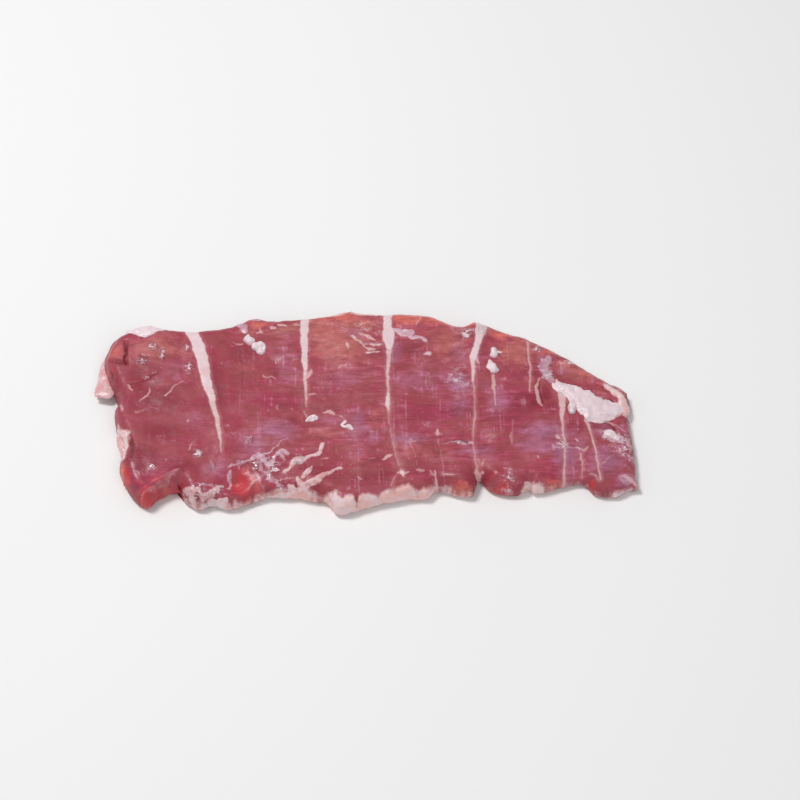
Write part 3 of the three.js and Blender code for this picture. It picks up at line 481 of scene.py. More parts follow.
def nearest_on_path(x, y, path):
    """Distance of each plan point from a path of straight steps, and its place on the path, counted
    in points."""
    nearest, place = np.full(np.shape(x), np.inf), np.zeros(np.shape(x))
    for k in range(len(path) - 1):
        (ax, ay), (bx, by) = path[k][:2], path[k + 1][:2]
        dx, dy = bx - ax, by - ay
        t = np.clip(((x - ax) * dx + (y - ay) * dy) / (dx * dx + dy * dy), 0, 1)
        gap = np.hypot(x - ax - t * dx, y - ay - t * dy)
        closer = gap < nearest
        nearest, place = np.where(closer, gap, nearest), np.where(closer, k + t, place)
    return nearest, place


def depth_in_stroke(x, y, stroke):
    """How deep each plan point lies inside a stroke given by x, y and half width: the half width
    at the nearest place of its middle line, less the distance from there. Negative outside it."""
    gap, place = nearest_on_path(x, y, stroke)
    return np.interp(place, range(len(stroke)), [point[2] for point in stroke]) - gap


def outline_ring(steps):
    """The outline as one closed ring of straight steps, the given number to an edge."""
    t, zero = np.arange(steps) / steps, np.zeros(steps)
    u = np.concatenate((t, zero + 1, 1 - t, zero, [0]))
    v = np.concatenate((zero, t, zero + 1, 1 - t, [0]))
    return np.stack(plan_point(u, v), axis=1)


RING = outline_ring(110)
NOISE_SIZE = 64


def noise(x, y, seed):
    """Smooth noise from -1 to 1: random numbers at whole coordinates, blended between them by
    3t^2 - 2t^3. It repeats after NOISE_SIZE."""
    table = np.random.default_rng(seed).uniform(-1, 1, (NOISE_SIZE, NOISE_SIZE))
    column, row = np.floor(x).astype(int), np.floor(y).astype(int)
    s, t = x - column, y - row
    s, t = s * s * (3 - 2 * s), t * t * (3 - 2 * t)
    left, right = column % NOISE_SIZE, (column + 1) % NOISE_SIZE
    near, far = row % NOISE_SIZE, (row + 1) % NOISE_SIZE
    low = table[near, left] * (1 - s) + table[near, right] * s
    high = table[far, left] * (1 - s) + table[far, right] * s
    return low * (1 - t) + high * t


def rough(x, y, seed, layers=3):
    """Noise plus finer layers of itself, each at twice the scale and half the height."""
    return sum(noise(x * 2**k, y * 2**k, seed + k) / 2**k for k in range(layers))


def ease(x, low, high):
    """0 below low, 1 above high, smooth between."""
    t = np.clip((x - low) / (high - low), 0, 1)
    return t * t * (3 - 2 * t)


def bell(x, y, middle_x, middle_y, radius_x, radius_y):
    """e to the power of minus the squared distance from the middle, counted in the two radii."""
    return np.exp(-(((x - middle_x) / radius_x) ** 2) - ((y - middle_y) / radius_y) ** 2)


def quarter_round(t):
    """0 at 0 and 1 from 1 on, up a quarter of a circle: the root of 1 less the square of 1 - t."""
    return np.sqrt(1 - (1 - np.clip(t, 0, 1)) ** 2)


# ---------------------------------------------------------------- the top of the slab

FAR_OUTSIDE = -9.0  # depth of what lies in nothing
WAVER_LENGTH = 2.8
STROKE_EDGE = 0.35  # half the width over which a stroke fades out
STROKE_MARGIN = 3  # how far beyond a stroke its depth is worked out


def slab_height(x, y, rim, thickness):
    """Height of the slab's plain top: full thickness inside, and within RIM_ROUND of the outline
    down to RIM_HEIGHT on a quarter of an ellipse. The full thickness is the steak's, more to the
    left and less to the right, plus slow waves, round dips and the fold, less narrow cuts."""
    full = thickness + LEFT_EXTRA * (1 - ease(x, *LEFT_SLOPE)) - RIGHT_LOSS * ease(x, *RIGHT_SLOPE)
    for height, length_x, length_y, shift in WAVES:
        across = np.cos(2 * np.pi * y / length_y + shift)
        full = full + height * np.sin(2 * np.pi * x / length_x + shift) * across
    for *place, height in DIPS:
        full = full + height * bell(x, y, *place)
    for start, end, half_width, depth in CUTS:
        full = full - depth * np.exp(-((nearest_on_path(x, y, (start, end))[0] / half_width) ** 2))
    full = full + FOLD_RISE * ease(depth_in_stroke(x, y, FOLD) + FOLD_FOOT, 0, FOLD_SLOPE)
    return RIM_HEIGHT + (full - RIM_HEIGHT) * quarter_round(rim / RIM_ROUND)


def drawn(x, y, strokes, waver=0.5):
    """What a table of strokes draws at each plan point: an amount and a depth. The amount is the
    largest of the strokes' strengths there, each faded out over its stroke's edge. The depth is how
    deep the point lies in the stroke that it lies deepest in. Noise moves the strokes aside by
    about the waver."""
    moved_x = x + waver * rough(x / WAVER_LENGTH, y / WAVER_LENGTH, 51, 2)
    moved_y = y + waver * rough(x / WAVER_LENGTH, y / WAVER_LENGTH, 55, 2)
    amount, depth = np.zeros(x.shape), np.full(x.shape, FAR_OUTSIDE)
    for strength, stroke in strokes:
        low, high = np.min(stroke, axis=0), np.max(stroke, axis=0)
        reach = high[2] + STROKE_MARGIN
        near = (moved_x > low[0] - reach) & (moved_x < high[0] + reach)
        near = near & (moved_y > low[1] - reach) & (moved_y < high[1] + reach)
        inside = depth_in_stroke(moved_x[near], moved_y[near], stroke)
        faded = strength * ease(inside, -STROKE_EDGE, STROKE_EDGE)
        amount[near] = np.maximum(amount[near], faded)
        depth[near] = np.maximum(depth[near], inside)
    return amount, depth


def rim_fat(x, y, rim):
    """How deep a plan point lies in the fat that edges the front and the back: the fat's reach in
    from the outline, moved by noise into tufts that run across, less the distance from the outline.
    Negative outside it."""
    front = np.interp(x, *np.array(FRONT_FAT, float).T) + 0.6 * rough(x / 3.1, y / 6, 61)
    back = np.interp(x, *np.array(BACK_FAT, float).T) + 0.3 * rough(x / 3, y / 6, 62)
    first_x, last_x = RIM_FAT_SPAN
    beyond = np.where((x > first_x) & (x < last_x), 0, -2)
    return np.where(y < MIDDLE_Y, front, back) - rim + beyond


def marks(x, y, rim):
    """What the top shows at each plan point, by name: how deep the point lies in a tendon band, a
    strand and fat, negative outside it, and from 0 to 1 how white the band is and the amounts of
    threads, cracks, which also carry painted shade, and films, a few of which are painted highlights."""
    _, fat = drawn(x, y, [(1, stroke) for stroke in FAT_AREAS], 0.9)
    white, band = drawn(x, y, BANDS, 0.3)
    return {
        "band": band,
        "white": white,
        "strand": drawn(x, y, STRANDS)[1],
        "fat": np.maximum(fat, rim_fat(x, y, rim)),
        "thread": drawn(x, y, THREADS)[0],
        "crack_and_shade": drawn(x, y, CRACKS)[0],
        "film": drawn(x, y, FILMS, 0.8)[0] * ease(rim, 0, 1.4),
    }


def relief(x, y, rim, shown):
    """Height of the fine relief: noise in soft swells and ripples and in faint fibres along x, a lip
    and a groove along each tendon band's edge, raised strands, wrinkled films, lobes in the fat and
    wet crinkles, less the cracks. It fades to nothing at the rim's outermost line."""
    band, strand, fat = shown["band"], shown["strand"], shown["fat"]
    turned_x, turned_y = 0.8 * x + 0.6 * y, 0.8 * y - 0.6 * x
    fibred = ease(x, *FIBRED_FROM)
    bent_y = y + 1.5 * noise(x / 24, y / 30, 3)
    fibres = FIBRE_HEIGHT * noise(x / 15, bent_y / 1.6, 5)
    fibres = fibres + BUNDLE_HEIGHT * noise(x / 21, bent_y / 4.2, 6)
    swells = SWELL_HEIGHT * rough(turned_x / 11, turned_y / 9, 11)
    ripples = RIPPLE_HEIGHT * rough(turned_x / 2.6, turned_y / 2.2, 14, 2)
    lip = LIP_HEIGHT * np.exp(-(((band + 0.9) / 0.8) ** 2))
    groove = LIP_HEIGHT * np.exp(-(((band + 0.1) / 0.5) ** 2))
    raised = STRAND_HEIGHT * (1 - np.exp(-1.3 * np.clip(strand, 0, 9)))
    raised = raised * (1 + 0.4 * rough(x / 1.6, y / 1.6, 23, 2))
    films = FILM_HEIGHT + WRINKLE_HEIGHT * rough(turned_x / 1.8, turned_y / 1.5, 24, 2)
    films = shown["film"] * films
    lobes = LOBE_HEIGHT + LOBE_HEIGHT * rough(x / 6, y / 3.5, 21, 2)
    lobes = ease(fat, -0.2, 1.2) * (lobes + LUMP_HEIGHT * rough(x / 2, y / 2, 22, 2))
    wet = WET_HEIGHT * tint("wet", x, y) * rough(turned_x / 2, turned_y / 1.6, 25, 2)
    total = fibred * fibres + (swells + ripples) + (lip - groove)
    total = total - CRACK_DEPTH * shown["crack_and_shade"] + raised + films + lobes + wet
    return total * ease(rim, 0, RIM_FADE)


def tint(name, x, y):
    """Strength of a soft patch colour: the largest of its patches, each a bell times its strength."""
    return np.max([strength * bell(x, y, *place) for *place, strength in TINTS[name]], axis=0)


def top_of_steak(x, y, thickness):
    """Height of the finished top at any plan point."""
    rim = nearest_on_path(x, y, RING)[0]
    return slab_height(x, y, rim, thickness) + relief(x, y, rim, marks(x, y, rim))


# ---------------------------------------------------------------- meshes


def make_piece(name, points, faces, material, attributes=None):
    """A smooth mesh piece from points in millimetres and faces, with one number per point for each
    attribute."""
    mesh = bpy.data.meshes.new(name)
    mesh.from_pydata((np.asarray(points) * MM).tolist(), [], [list(face) for face in faces])
    if mesh.validate():
        raise RuntimeError(f"{name} has faces that had to be mended")
    mesh.polygons.foreach_set("use_smooth", np.ones(len(mesh.polygons), bool))
    for label, values in (attributes or {}).items():
        layer = mesh.attributes.new(label, "FLOAT", "POINT")
        layer.data.foreach_set("value", np.asarray(values, np.float32))
    mesh.materials.append(material)
    piece = bpy.data.objects.new(name, mesh)
    bpy.context.scene.collection.objects.link(piece)
    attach(piece, "root")
    return piece


def grid_faces(rows, columns):
    """Quads of a grid whose points are counted along its rows."""
    corner = np.arange(rows - 1)[:, None] * columns + np.arange(columns - 1)
    quads = np.stack((corner, corner + 1, corner + columns + 1, corner + columns), axis=-1)
    return quads.reshape(-1, 4)


def step_lengths(points):
    """Lengths of the straight steps between points whose first two numbers are x and y."""
    return np.hypot(*np.diff(np.array(points, float)[:, :2], axis=0).T)


def path_length(points):
    """Length of a path of straight steps through points whose first two numbers are x and y."""
    return np.sum(step_lengths(points))


def along_curve(points, count):
    """Points along a smooth curve through the given ones, closer at its two ends: at shares of its
    length of half of 1 less the cosine of an even angle from 0 to pi. Also the lengths run."""
    points = np.array(points, float)
    knots = np.concatenate(([0], np.cumsum(step_lengths(points))))
    at = knots[-1] * (1 - np.cos(np.pi * np.arange(count + 1) / count)) / 2
    curves = [smooth_curve(np.stack((knots, line), axis=1), at) for line in points.T]
    return np.stack(curves), at


LEAST_STEPS = 14
RIBBON_END = 5.0  # how long a ribbon's rounded end is


def stroke_axis(stroke, step):
    """A roll's middle line and its reach to one side, x and y of each, at steps along a stroke of
    x, y and half width, with the length run. It starts and ends nine tenths of a half width past
    the stroke, and over that length its reach runs out on a quarter circle."""
    first, last = np.array(stroke[0], float), np.array(stroke[-1], float)
    before, after = first - np.array(stroke[1], float), last - np.array(stroke[-2], float)
    lead_in, lead_out = 0.9 * first[2], 0.9 * last[2]
    ends = [
        np.array((*(end[:2] + way[:2] / np.hypot(*way[:2]) * lead), end[2]))
        for end, way, lead in ((first, before, lead_in), (last, after, lead_out))
    ]
    path = [ends[0], *stroke, ends[1]]
    steps = max(int(path_length(path) / step), LEAST_STEPS)
    (x, y, half_width), at = along_curve(path, steps)
    run_out = quarter_round(at / lead_in) * quarter_round((at[-1] - at) / lead_out)
    dx, dy = np.gradient(x), np.gradient(y)
    reach_x = -dy / np.hypot(dx, dy) * half_width * run_out
    reach_y = dx / np.hypot(dx, dy) * half_width * run_out
    return x, y, reach_x, reach_y, at


def ribbon_axis(near_edge, far_edge, step):
    """The same for a ribbon between two edges of x and y: the middle is half their sum, the reach
    half their difference, which runs out over RIBBON_END at both ends."""
    steps = max(int(path_length(far_edge) / step), LEAST_STEPS)
    (near_x, near_y), _ = along_curve(near_edge, steps)
    (far_x, far_y), at = along_curve(far_edge, steps)
    run_out = quarter_round(np.minimum(at, at[-1] - at) / RIBBON_END)
    reach_x, reach_y = (far_x - near_x) / 2 * run_out, (far_y - near_y) / 2 * run_out
    return (near_x + far_x) / 2, (near_y + far_y) / 2, reach_x, reach_y, at


def bed(x, y, thickness, level):
    """Height that a roll lies at: that of the finished top, or the level where one is given."""
    return top_of_steak(x, y, thickness) if level is None else np.full(np.shape(x), level)


def roll_mesh(axis, *, rise, sunk, thickness, seed, lumps, knobs, sides, blunt=1.0, level=None):
    """Points and faces of a closed roll along an axis.

    Its section at each step goes once round an angle. A point of it lies to the side of the axis by
    the reach times the cosine. Its widest line lies sunk below the steak's finished top. Above that
    line it rises by rise and sunk together times the sine, and below it falls by three tenths of
    sunk times the sine, both less towards the ends, by the share of the largest reach to the power
    0.6. Sine and cosine are to the power blunt. Noise swells the reach by the share lumps and the
    upper half by the share knobs. A pole closes each end. Where a level is given, the roll lies at
    that height instead of on the top.
    """
    x, y, reach_x, reach_y, at = axis
    angle = 2 * np.pi * np.arange(sides) / sides
    aside = np.sign(np.cos(angle)) * np.abs(np.cos(angle)) ** blunt
    upward = np.sign(np.sin(angle)) * np.abs(np.sin(angle)) ** blunt
    round_about = 7 + 1.6 * np.cos(angle) + 0.9 * np.sin(angle)
    swell = 1 + lumps * rough(at[1:-1, None] / 2.2, round_about, seed)
    px = x[1:-1, None] + reach_x[1:-1, None] * aside * swell
    py = y[1:-1, None] + reach_y[1:-1, None] * aside * swell
    reach = np.hypot(reach_x, reach_y)
    fullness = (reach / reach.max()).clip(0, 1)[1:-1, None] ** 0.6
    knob = 1 + knobs * rough(px / 2.1, py / 2.1, seed + 7)
    lift = np.where(upward > 0, (rise + sunk) * knob, 0.3 * sunk) * upward * fullness - sunk
    poles_x, poles_y = x[[0, -1]], y[[0, -1]]
    points = np.concatenate((
        np.stack((px, py, bed(px, py, thickness, level) + lift), axis=-1).reshape(-1, 3),
        np.stack((poles_x, poles_y, bed(poles_x, poles_y, thickness, level) - sunk), axis=-1),
    ))
    rings = len(x) - 2
    ring_start = np.arange(rings - 1)[:, None] * sides
    here, after_it = np.arange(sides), (np.arange(sides) + 1) % sides
    corners = (ring_start + here, ring_start + after_it)
    corners += (ring_start + sides + after_it, ring_start + sides + here)
    faces = np.stack(corners, axis=-1).reshape(-1, 4).tolist()
    first_pole, last_pole, last_ring = rings * sides, rings * sides + 1, (rings - 1) * sides
    faces += [(first_pole, b, a) for a, b in zip(here, after_it)]
    faces += [(last_pole, last_ring + a, last_ring + b) for a, b in zip(here, after_it)]
    return points, faces


# ---------------------------------------------------------------- the slab of meat

CELLS_ALONG, CELLS_ACROSS = 420, 188
UNDER_STEP = 4  # cells of the top to one cell of the underside
RIM_CROWDING = 0.35  # 0 spaces the grid's lines evenly, 1 packs them at the rims
LENGTH, WIDTH = 218.0, 95.0  # of the plan, about
LOWER_RINGS = ((0.15, 1.9), (0.5, 1.1), (1.2, 0.4), (2.4, 0))  # inwards from the outline, height
SIDE_SHARE_U, SIDE_SHARE_V = 0.06, 0.15  # shares of the plan, at each end and edge, that move aside
WOBBLE, FINE_WOBBLE = 0.45, 0.22  # how far the rim's large and small unevenness goes
WOBBLE_REACH = 3.5  # how far in it reaches
HOLLOW_DEPTH = 0.5  # of the underside
PLAIN = {"band": FAR_OUTSIDE, "strand": FAR_OUTSIDE, "fat": FAR_OUTSIDE}  # else 0, on the underside


def crowded(cells):
    """Places from 0 to 1 of a grid's lines, closer together at the rims: even places less the sine
    of their angle round a circle, over two pi, times RIM_CROWDING."""
    t = np.arange(cells + 1) / cells
    return t - RIM_CROWDING * np.sin(2 * np.pi * t) / (2 * np.pi)


def inset_point(u, v, inset):
    """The plan point at u and v of a plan that is smaller by the inset on every side."""
    share_u, share_v = inset / LENGTH, inset / WIDTH
    return plan_point(share_u + (1 - 2 * share_u) * u, share_v + (1 - 2 * share_v) * v)


def lower_ring(u, v, side_x, side_y, wobble, inset, height):
    """A ring of points in the wall below the widest line: the outline moved in by the inset, and
    aside by the rim's wobble and more noise, less so lower down."""
    x, y = inset_point(u, v, inset)
    shift = wobble + 0.3 * rough(x / 3, y / 3 + 4 * inset, 37)
    shift = shift * min(height + 0.3, 1)
    return np.stack((x + side_x * shift, y + side_y * shift, np.full(len(u), float(height))), axis=-1)


def underside(along, across):
    """Points of the underside's own grid: flat, with soft hollows of noise away from its edge."""
    inner = slice(UNDER_STEP, -UNDER_STEP, UNDER_STEP)
    u, v = np.meshgrid(along[inner], across[inner])
    x, y = inset_point(u, v, LOWER_RINGS[-1][0])
    edge = np.minimum(np.minimum(u, 1 - u) * LENGTH, np.minimum(v, 1 - v) * WIDTH)
    hollow = HOLLOW_DEPTH * ease(rough(x / 13, y / 9, 41), 0, 1.2) * ease(edge, 3, 12)
    return np.stack((x, y, hollow), axis=-1)


def underside_faces(first, shape, ring_first, ring_size):
    """Quads of the underside's grid, whose points start at first, and the polygons that join it to
    the ring round it: one for each step of the grid's border, and one for each corner."""
    inner = first + np.arange(shape[0] * shape[1]).reshape(shape)
    faces = [face[::-1] for face in (grid_faces(*shape) + first).tolist()]
    sides = (
        (0, inner[0, :]),
        (CELLS_ALONG, inner[:, -1]),
        (CELLS_ALONG + CELLS_ACROSS, inner[-1, ::-1]),
        (2 * CELLS_ALONG + CELLS_ACROSS, inner[::-1, 0]),
    )
    for start, line in sides:
        for step in range(1, len(line)):
            at = start + UNDER_STEP * step
            ring = [ring_first + (at + t) % ring_size for t in range(UNDER_STEP + 1)]
            faces.append([*ring[::-1], line[step - 1], line[step]])
        corner = [ring_first + (start + t) % ring_size for t in range(-UNDER_STEP, UNDER_STEP + 1)]
        faces.append([*corner[::-1], line[0]])
    return faces


def slab_mesh(thickness):
    """Points, faces and attributes of the slab.

    Its top is a grid over the plan at the height of the finished top. The grid's outermost points
    lie on the outline at RIM_HEIGHT. From there rings of points run down and inwards to the flat
    underside, a coarser grid, and polygons join it to the last ring.
    """
    along, across = crowded(CELLS_ALONG), crowded(CELLS_ACROSS)
    u, v = np.meshgrid(along, across)
    x, y = plan_point(u, v)
    rim = nearest_on_path(x, y, RING)[0]
    rim[[0, -1], :], rim[:, [0, -1]] = 0, 0
    shown = marks(x, y, rim)
    z = slab_height(x, y, rim, thickness) + relief(x, y, rim, shown)

    # The rim is uneven: everything near it moves in and out by noise, more so where it is fat.
    side_x = ease(u, 1 - SIDE_SHARE_U, 1) - (1 - ease(u, 0, SIDE_SHARE_U))
    side_y = ease(v, 1 - SIDE_SHARE_V, 1) - (1 - ease(v, 0, SIDE_SHARE_V))
    wobble = rough(x / 5.5, (y + z) / 5.5, 31, 2) * WOBBLE
    wobble = wobble + rough(x / 1.8, (y + z) / 1.8, 33, 2) * FINE_WOBBLE
    wobble = wobble * np.exp(-((rim / WOBBLE_REACH) ** 2)) * (0.6 + 0.6 * ease(shown["fat"], -0.5, 0.5))
    x, y = x + side_x * wobble, y + side_y * wobble

    index = np.arange(u.size).reshape(u.shape)
    border = np.concatenate((index[0, :-1], index[:-1, -1], index[-1, :0:-1], index[:0:-1, 0]))
    edge = [values.flat[border] for values in (u, v, side_x, side_y, wobble)]
    rings = [lower_ring(*edge, inset, height) for inset, height in LOWER_RINGS]
    below = underside(along, across)
    points = [np.stack((x, y, z), axis=-1).reshape(-1, 3), *rings, below.reshape(-1, 3)]

    count, first = len(border), u.size
    faces = grid_faces(*u.shape).tolist()
    here, after = np.arange(count), (np.arange(count) + 1) % count
    upper = border
    for ring in range(len(LOWER_RINGS)):
        lower = first + ring * count + here
        faces += np.stack((upper[here], lower[here], lower[after], upper[after]), axis=-1).tolist()
        upper = lower
    under_first = first + len(LOWER_RINGS) * count
    faces += underside_faces(under_first, below.shape[:2], under_first - count, count)

    # The wall below the rim looks as the rim does above it, and the underside is plain muscle.
    layers = {**shown, **{name: tint(name, x, y) for name in TINTS}}
    source = np.concatenate((index.ravel(), *[border] * len(LOWER_RINGS)))
    plain = np.ones(below.shape[0] * below.shape[1])
    attributes = {
        name: np.concatenate((values.ravel()[source], plain * PLAIN.get(name, 0)))
        for name, values in layers.items()
    }
    return np.concatenate(points), faces, attributes


# ---------------------------------------------------------------- materials


class Wire:
    """A number on its way between nodes. Arithmetic on it adds Math nodes to its material."""

    def __init__(self, maker, socket):
        self.maker, self.socket = maker, socket

    def _math(self, operation, first, second):
        return self.maker.node("ShaderNodeMath", {"operation": operation}, {0: first, 1: second})

    def __add__(self, other):
        return self._math("ADD", self, other)

    def __sub__(self, other):
        return self._math("SUBTRACT", self, other)

    def __rsub__(self, other):
        return self._math("SUBTRACT", other, self)

    def __mul__(self, other):
        return self._math("MULTIPLY", self, other)

    __radd__, __rmul__ = __add__, __mul__


class Finish:
    """A material in the making: each method adds nodes to it and returns a wire."""

    def __init__(self, name):
        self.material = bpy.data.materials.new(name)
        self.material.use_nodes = True
        self.tree = self.material.node_tree
        self.tree.nodes.clear()
        self.place = self.node("ShaderNodeTexCoord", output="Object")

    def node(self, kind, settings=None, inputs=None, output=0):
        """A node with its settings made first, then its sockets set or linked."""
        made = self.tree.nodes.new(kind)
        for key, value in (settings or {}).items():
            setattr(made, key, value)
        sockets = {socket.identifier: socket for socket in made.inputs}
        for key, value in (inputs or {}).items():
            socket = made.inputs[key] if isinstance(key, int) else sockets[key]
            if isinstance(value, Wire):
                self.tree.links.new(value.socket, socket)
            else:
                socket.default_value = value
        return Wire(self, made.outputs[output]) if len(made.outputs) else None

    def layer(self, name):
        """The number that the mesh keeps under this name for each of its points."""
        return self.node("ShaderNodeAttribute", {"attribute_name": name}, output="Fac")

    def speckle(self, pitch, detail=2.0, seed=0.0, distortion=0.0):
        """Noise from 0 to 1, mostly near a half, whose features are pitch long along x, y and z, in
        millimetres."""
        scaled = self.node(
            "ShaderNodeVectorMath", {"operation": "MULTIPLY"},
            {0: self.place, 1: tuple(1 / (p * MM) for p in pitch)},
        )
        return self.node(
            "ShaderNodeTexNoise", {"noise_dimensions": "4D"},
            {"Vector": scaled, "W": seed, "Scale": 1.0, "Detail": detail, "Distortion": distortion},
        )

    def ease(self, value, low, high):
        """0 where the value is below low, 1 where it is above high, smooth between."""
        return self.node(
            "ShaderNodeMapRange", {"interpolation_type": "SMOOTHSTEP"},
            {"Value": value, "From Min": low, "From Max": high},
        )

    def larger(self, first, second):
        """The larger of two numbers."""
        return self.node("ShaderNodeMath", {"operation": "MAXIMUM"}, {0: first, 1: second})

    def mix(self, factor, under, over, blend="MIX"):
        """The second colour laid over the first as far as the factor says."""
        under, over = (c if isinstance(c, Wire) else (*c, 1) for c in (under, over))
        return self.node(
            "ShaderNodeMix", {"data_type": "RGBA", "blend_type": blend},
            {"Factor_Float": factor, "A_Color": under, "B_Color": over}, output=2,
        )

    def grey(self, value):
        """A number as a grey colour."""
        return self.node("ShaderNodeCombineColor", None, {0: value, 1: value, 2: value})

    def finish(self, sockets, height=None):
        """Closes the material with a Principled surface, and a bump of the height in millimetres."""
        if height is not None:
            bump = self.node("ShaderNodeBump", None, {"Height": height, "Distance": MM})
            sockets["Normal"] = bump
        surface = self.node("ShaderNodeBsdfPrincipled", {"subsurface_method": "RANDOM_WALK"}, sockets)
        self.node("ShaderNodeOutputMaterial", None, {"Surface": surface})
        return self.material

    def finish_soft(self, colour, roughness, spread, height):
        """Closes the material of a soft thing that light goes a little way into, under a wet gloss.
        The spread is how far red, green and blue go."""
        return self.finish(
            {
                "Base Color": colour,
                "Roughness": roughness,
                "Coat Weight": 0.2,
                "Coat Roughness": 0.2,
                "Subsurface Weight": 0.25,
                "Subsurface Radius": spread,
                "Subsurface Scale": 1.2 * MM,
            },
            height,
        )


def meat_material(look):
    """Raw muscle under a moist skin.

    Soft patches turn it brown, magenta, deep red, lilac, orange or bright red. The deep red is partly
    painted shade in the hollows, the lilac partly painted sheen, and the orange and bright red at the
    rims partly painted light. Clouds and mottles of several sizes, fibres along x and fine pale hairs
    across them run through it. Over it lie, with ragged edges, cracks darkened by painted shade, pale
    crumbs, a painted sheen and painted white glints on wet patches, films, strands, threads, tendon
    bands and fat.
    """
    m = Finish("raw_meat")
    clouds = m.speckle((23, 14, 14), detail=4, seed=1, distortion=0.5)
    mottle = m.speckle((7, 3.6, 5), detail=4, seed=2, distortion=0.6)
    fibres = m.speckle((11, 1.0, 5), detail=3, seed=3, distortion=0.25)
    bundles = m.speckle((36, 2.4, 8), detail=3, seed=4, distortion=0.4)
    threads = m.speckle((1.3, 30, 8), detail=3, seed=5, distortion=0.2)
    fine = m.speckle((2.2, 1.5, 1.8), detail=3, seed=6)
    grain = m.speckle((0.8, 0.7, 0.8), detail=2, seed=7)
    hue = m.speckle((15, 8, 9), detail=4, seed=8, distortion=0.6)
    x_place = m.node("ShaderNodeSeparateXYZ", None, {0: m.place}, output=0)
    in_grain = m.ease(x_place, *(x * MM for x in GRAIN_FROM))
    fibred = in_grain * m.ease(clouds + (hue - 0.5), 0.3, 0.6)
    streaks = (bundles - 0.5) * 0.9 + (fibres - 0.5) * 0.7

    # The muscle's own colours.
    uneven = (clouds - 0.5) * 1.1 + (mottle - 0.5) * 1.0 + (fine - 0.5) * 0.5
    colour = m.mix(m.ease(hue + (mottle - 0.5) * 0.6, 0.4, 0.66) * 0.6, look.meat, look.magenta)
    lilac = m.ease(clouds + (mottle - 0.5) * 0.4 - (hue - 0.5) * 0.7, 0.5, 0.75)
    colour = m.mix(lilac * 0.3, colour, look.veil_and_sheen)
    colour = m.mix(m.ease(m.layer("warm") + uneven, 0.1, 0.95) * 0.95, colour, look.warm)
    colour = m.mix(m.ease(m.layer("magenta") + uneven, 0.15, 0.9) * 0.85, colour, look.magenta)
    # Deep red patches, partly painted shade where they lie over hollows.
    colour = m.mix(m.ease(m.layer("dark") + uneven, 0.1, 0.9) * 0.9, colour, look.dark)
    # Lilac patches: a thin film, and partly painted sheen that stands in for the wet top's reflection.
    veil_and_sheen = m.ease(m.layer("veil_and_sheen") + uneven * 0.8 + streaks * fibred, 0.1, 1.05)
    colour = m.mix(veil_and_sheen * 0.85, colour, look.veil_and_sheen)
    # Orange rims: partly painted light, as if shining through thin muscle.
    colour = m.mix(m.ease(m.layer("orange") + uneven * 0.8, 0.2, 0.9), colour, look.orange)
    # Bright red: cut muscle, and on the front walls painted light.
    colour = m.mix(m.ease(m.layer("fresh_and_lit") + uneven * 0.7, 0.25, 0.85), colour, look.fresh_and_lit)

    # Light and dark mottles, fibres and hairs.
    shade = 1 + (clouds - 0.5) * 0.5 + (mottle - 0.5) * 0.8 + (fine - 0.5) * 0.4 + (grain - 0.5) * 0.25
    shade = shade + (fibres - 0.5) * 0.75 * fibred + (bundles - 0.5) * 0.45 * fibred
    colour = m.mix(1.0, colour, m.grey(shade), "MULTIPLY")
    hairs = m.ease(threads + (mottle - 0.5) * 0.7, 0.6, 0.72) * (0.05 + fibred * 0.25)
    hairs = hairs + m.ease(grain + (fine - 0.5) * 0.4, 0.66, 0.76) * 0.25
    colour = m.mix(hairs, colour, look.film)

    # How far each thing that lies over the muscle covers it.
    ragged = (grain - 0.5) * 0.9 + (fine - 0.5) * 0.9
    tufts = (m.speckle((1.6, 5, 4), detail=2, seed=10) - 0.5) * 2.0
    crinkle = m.speckle((3.0, 2.2, 2.5), detail=2, seed=9, distortion=1.5)
    crack_and_shade = m.ease(m.layer("crack_and_shade") + ragged * 0.3, 0.2, 0.9)
    crumbs = m.ease(grain + (m.layer("specks") - 1) * 0.35, 0.46, 0.64)
    film = m.ease(m.layer("film") + ragged * 0.4 + (mottle - 0.5) * 0.6, 0.15, 1.0)
    thread = m.ease(m.layer("thread") + ragged * 0.35, 0.15, 0.95)
    strand = m.ease(m.layer("strand") + ragged, -0.3, 0.35)
    band_depth = m.layer("band")
    band = m.ease(band_depth + ragged * 0.45, -0.35, 0.55)
    haze = m.ease(band_depth + ragged, -1.6, 0.2) * 0.14
    fat_depth = m.layer("fat")
    fat = m.ease(fat_depth + ragged * 0.5 + tufts * 0.9 + (mottle - 0.5) * 2, -0.9, 0.9)
    wet = m.ease(m.layer("wet") + (mottle - 0.5) * 1.2 + ragged * 0.3, 0.12, 0.7)
    # Painted sheen: a pale wash over the crinkles of the wet patches.
    painted_sheen = wet * m.ease(crinkle + (grain - 0.5) * 0.3, 0.42, 0.56)
    pale = m.ease(mottle + (fine - 0.5) * 0.9, 0.38, 0.62)

    # Their colours, from the lowest to the uppermost.
    # Painted shade at the bottom of the cracks and folds.
    colour = m.mix(crack_and_shade * 0.85, colour, look.crack_and_shade)
    colour = m.mix(crumbs * 0.8, colour, look.strand)
    # Painted sheen over the wet patches.
    colour = m.mix(painted_sheen * 0.55, colour, look.film)
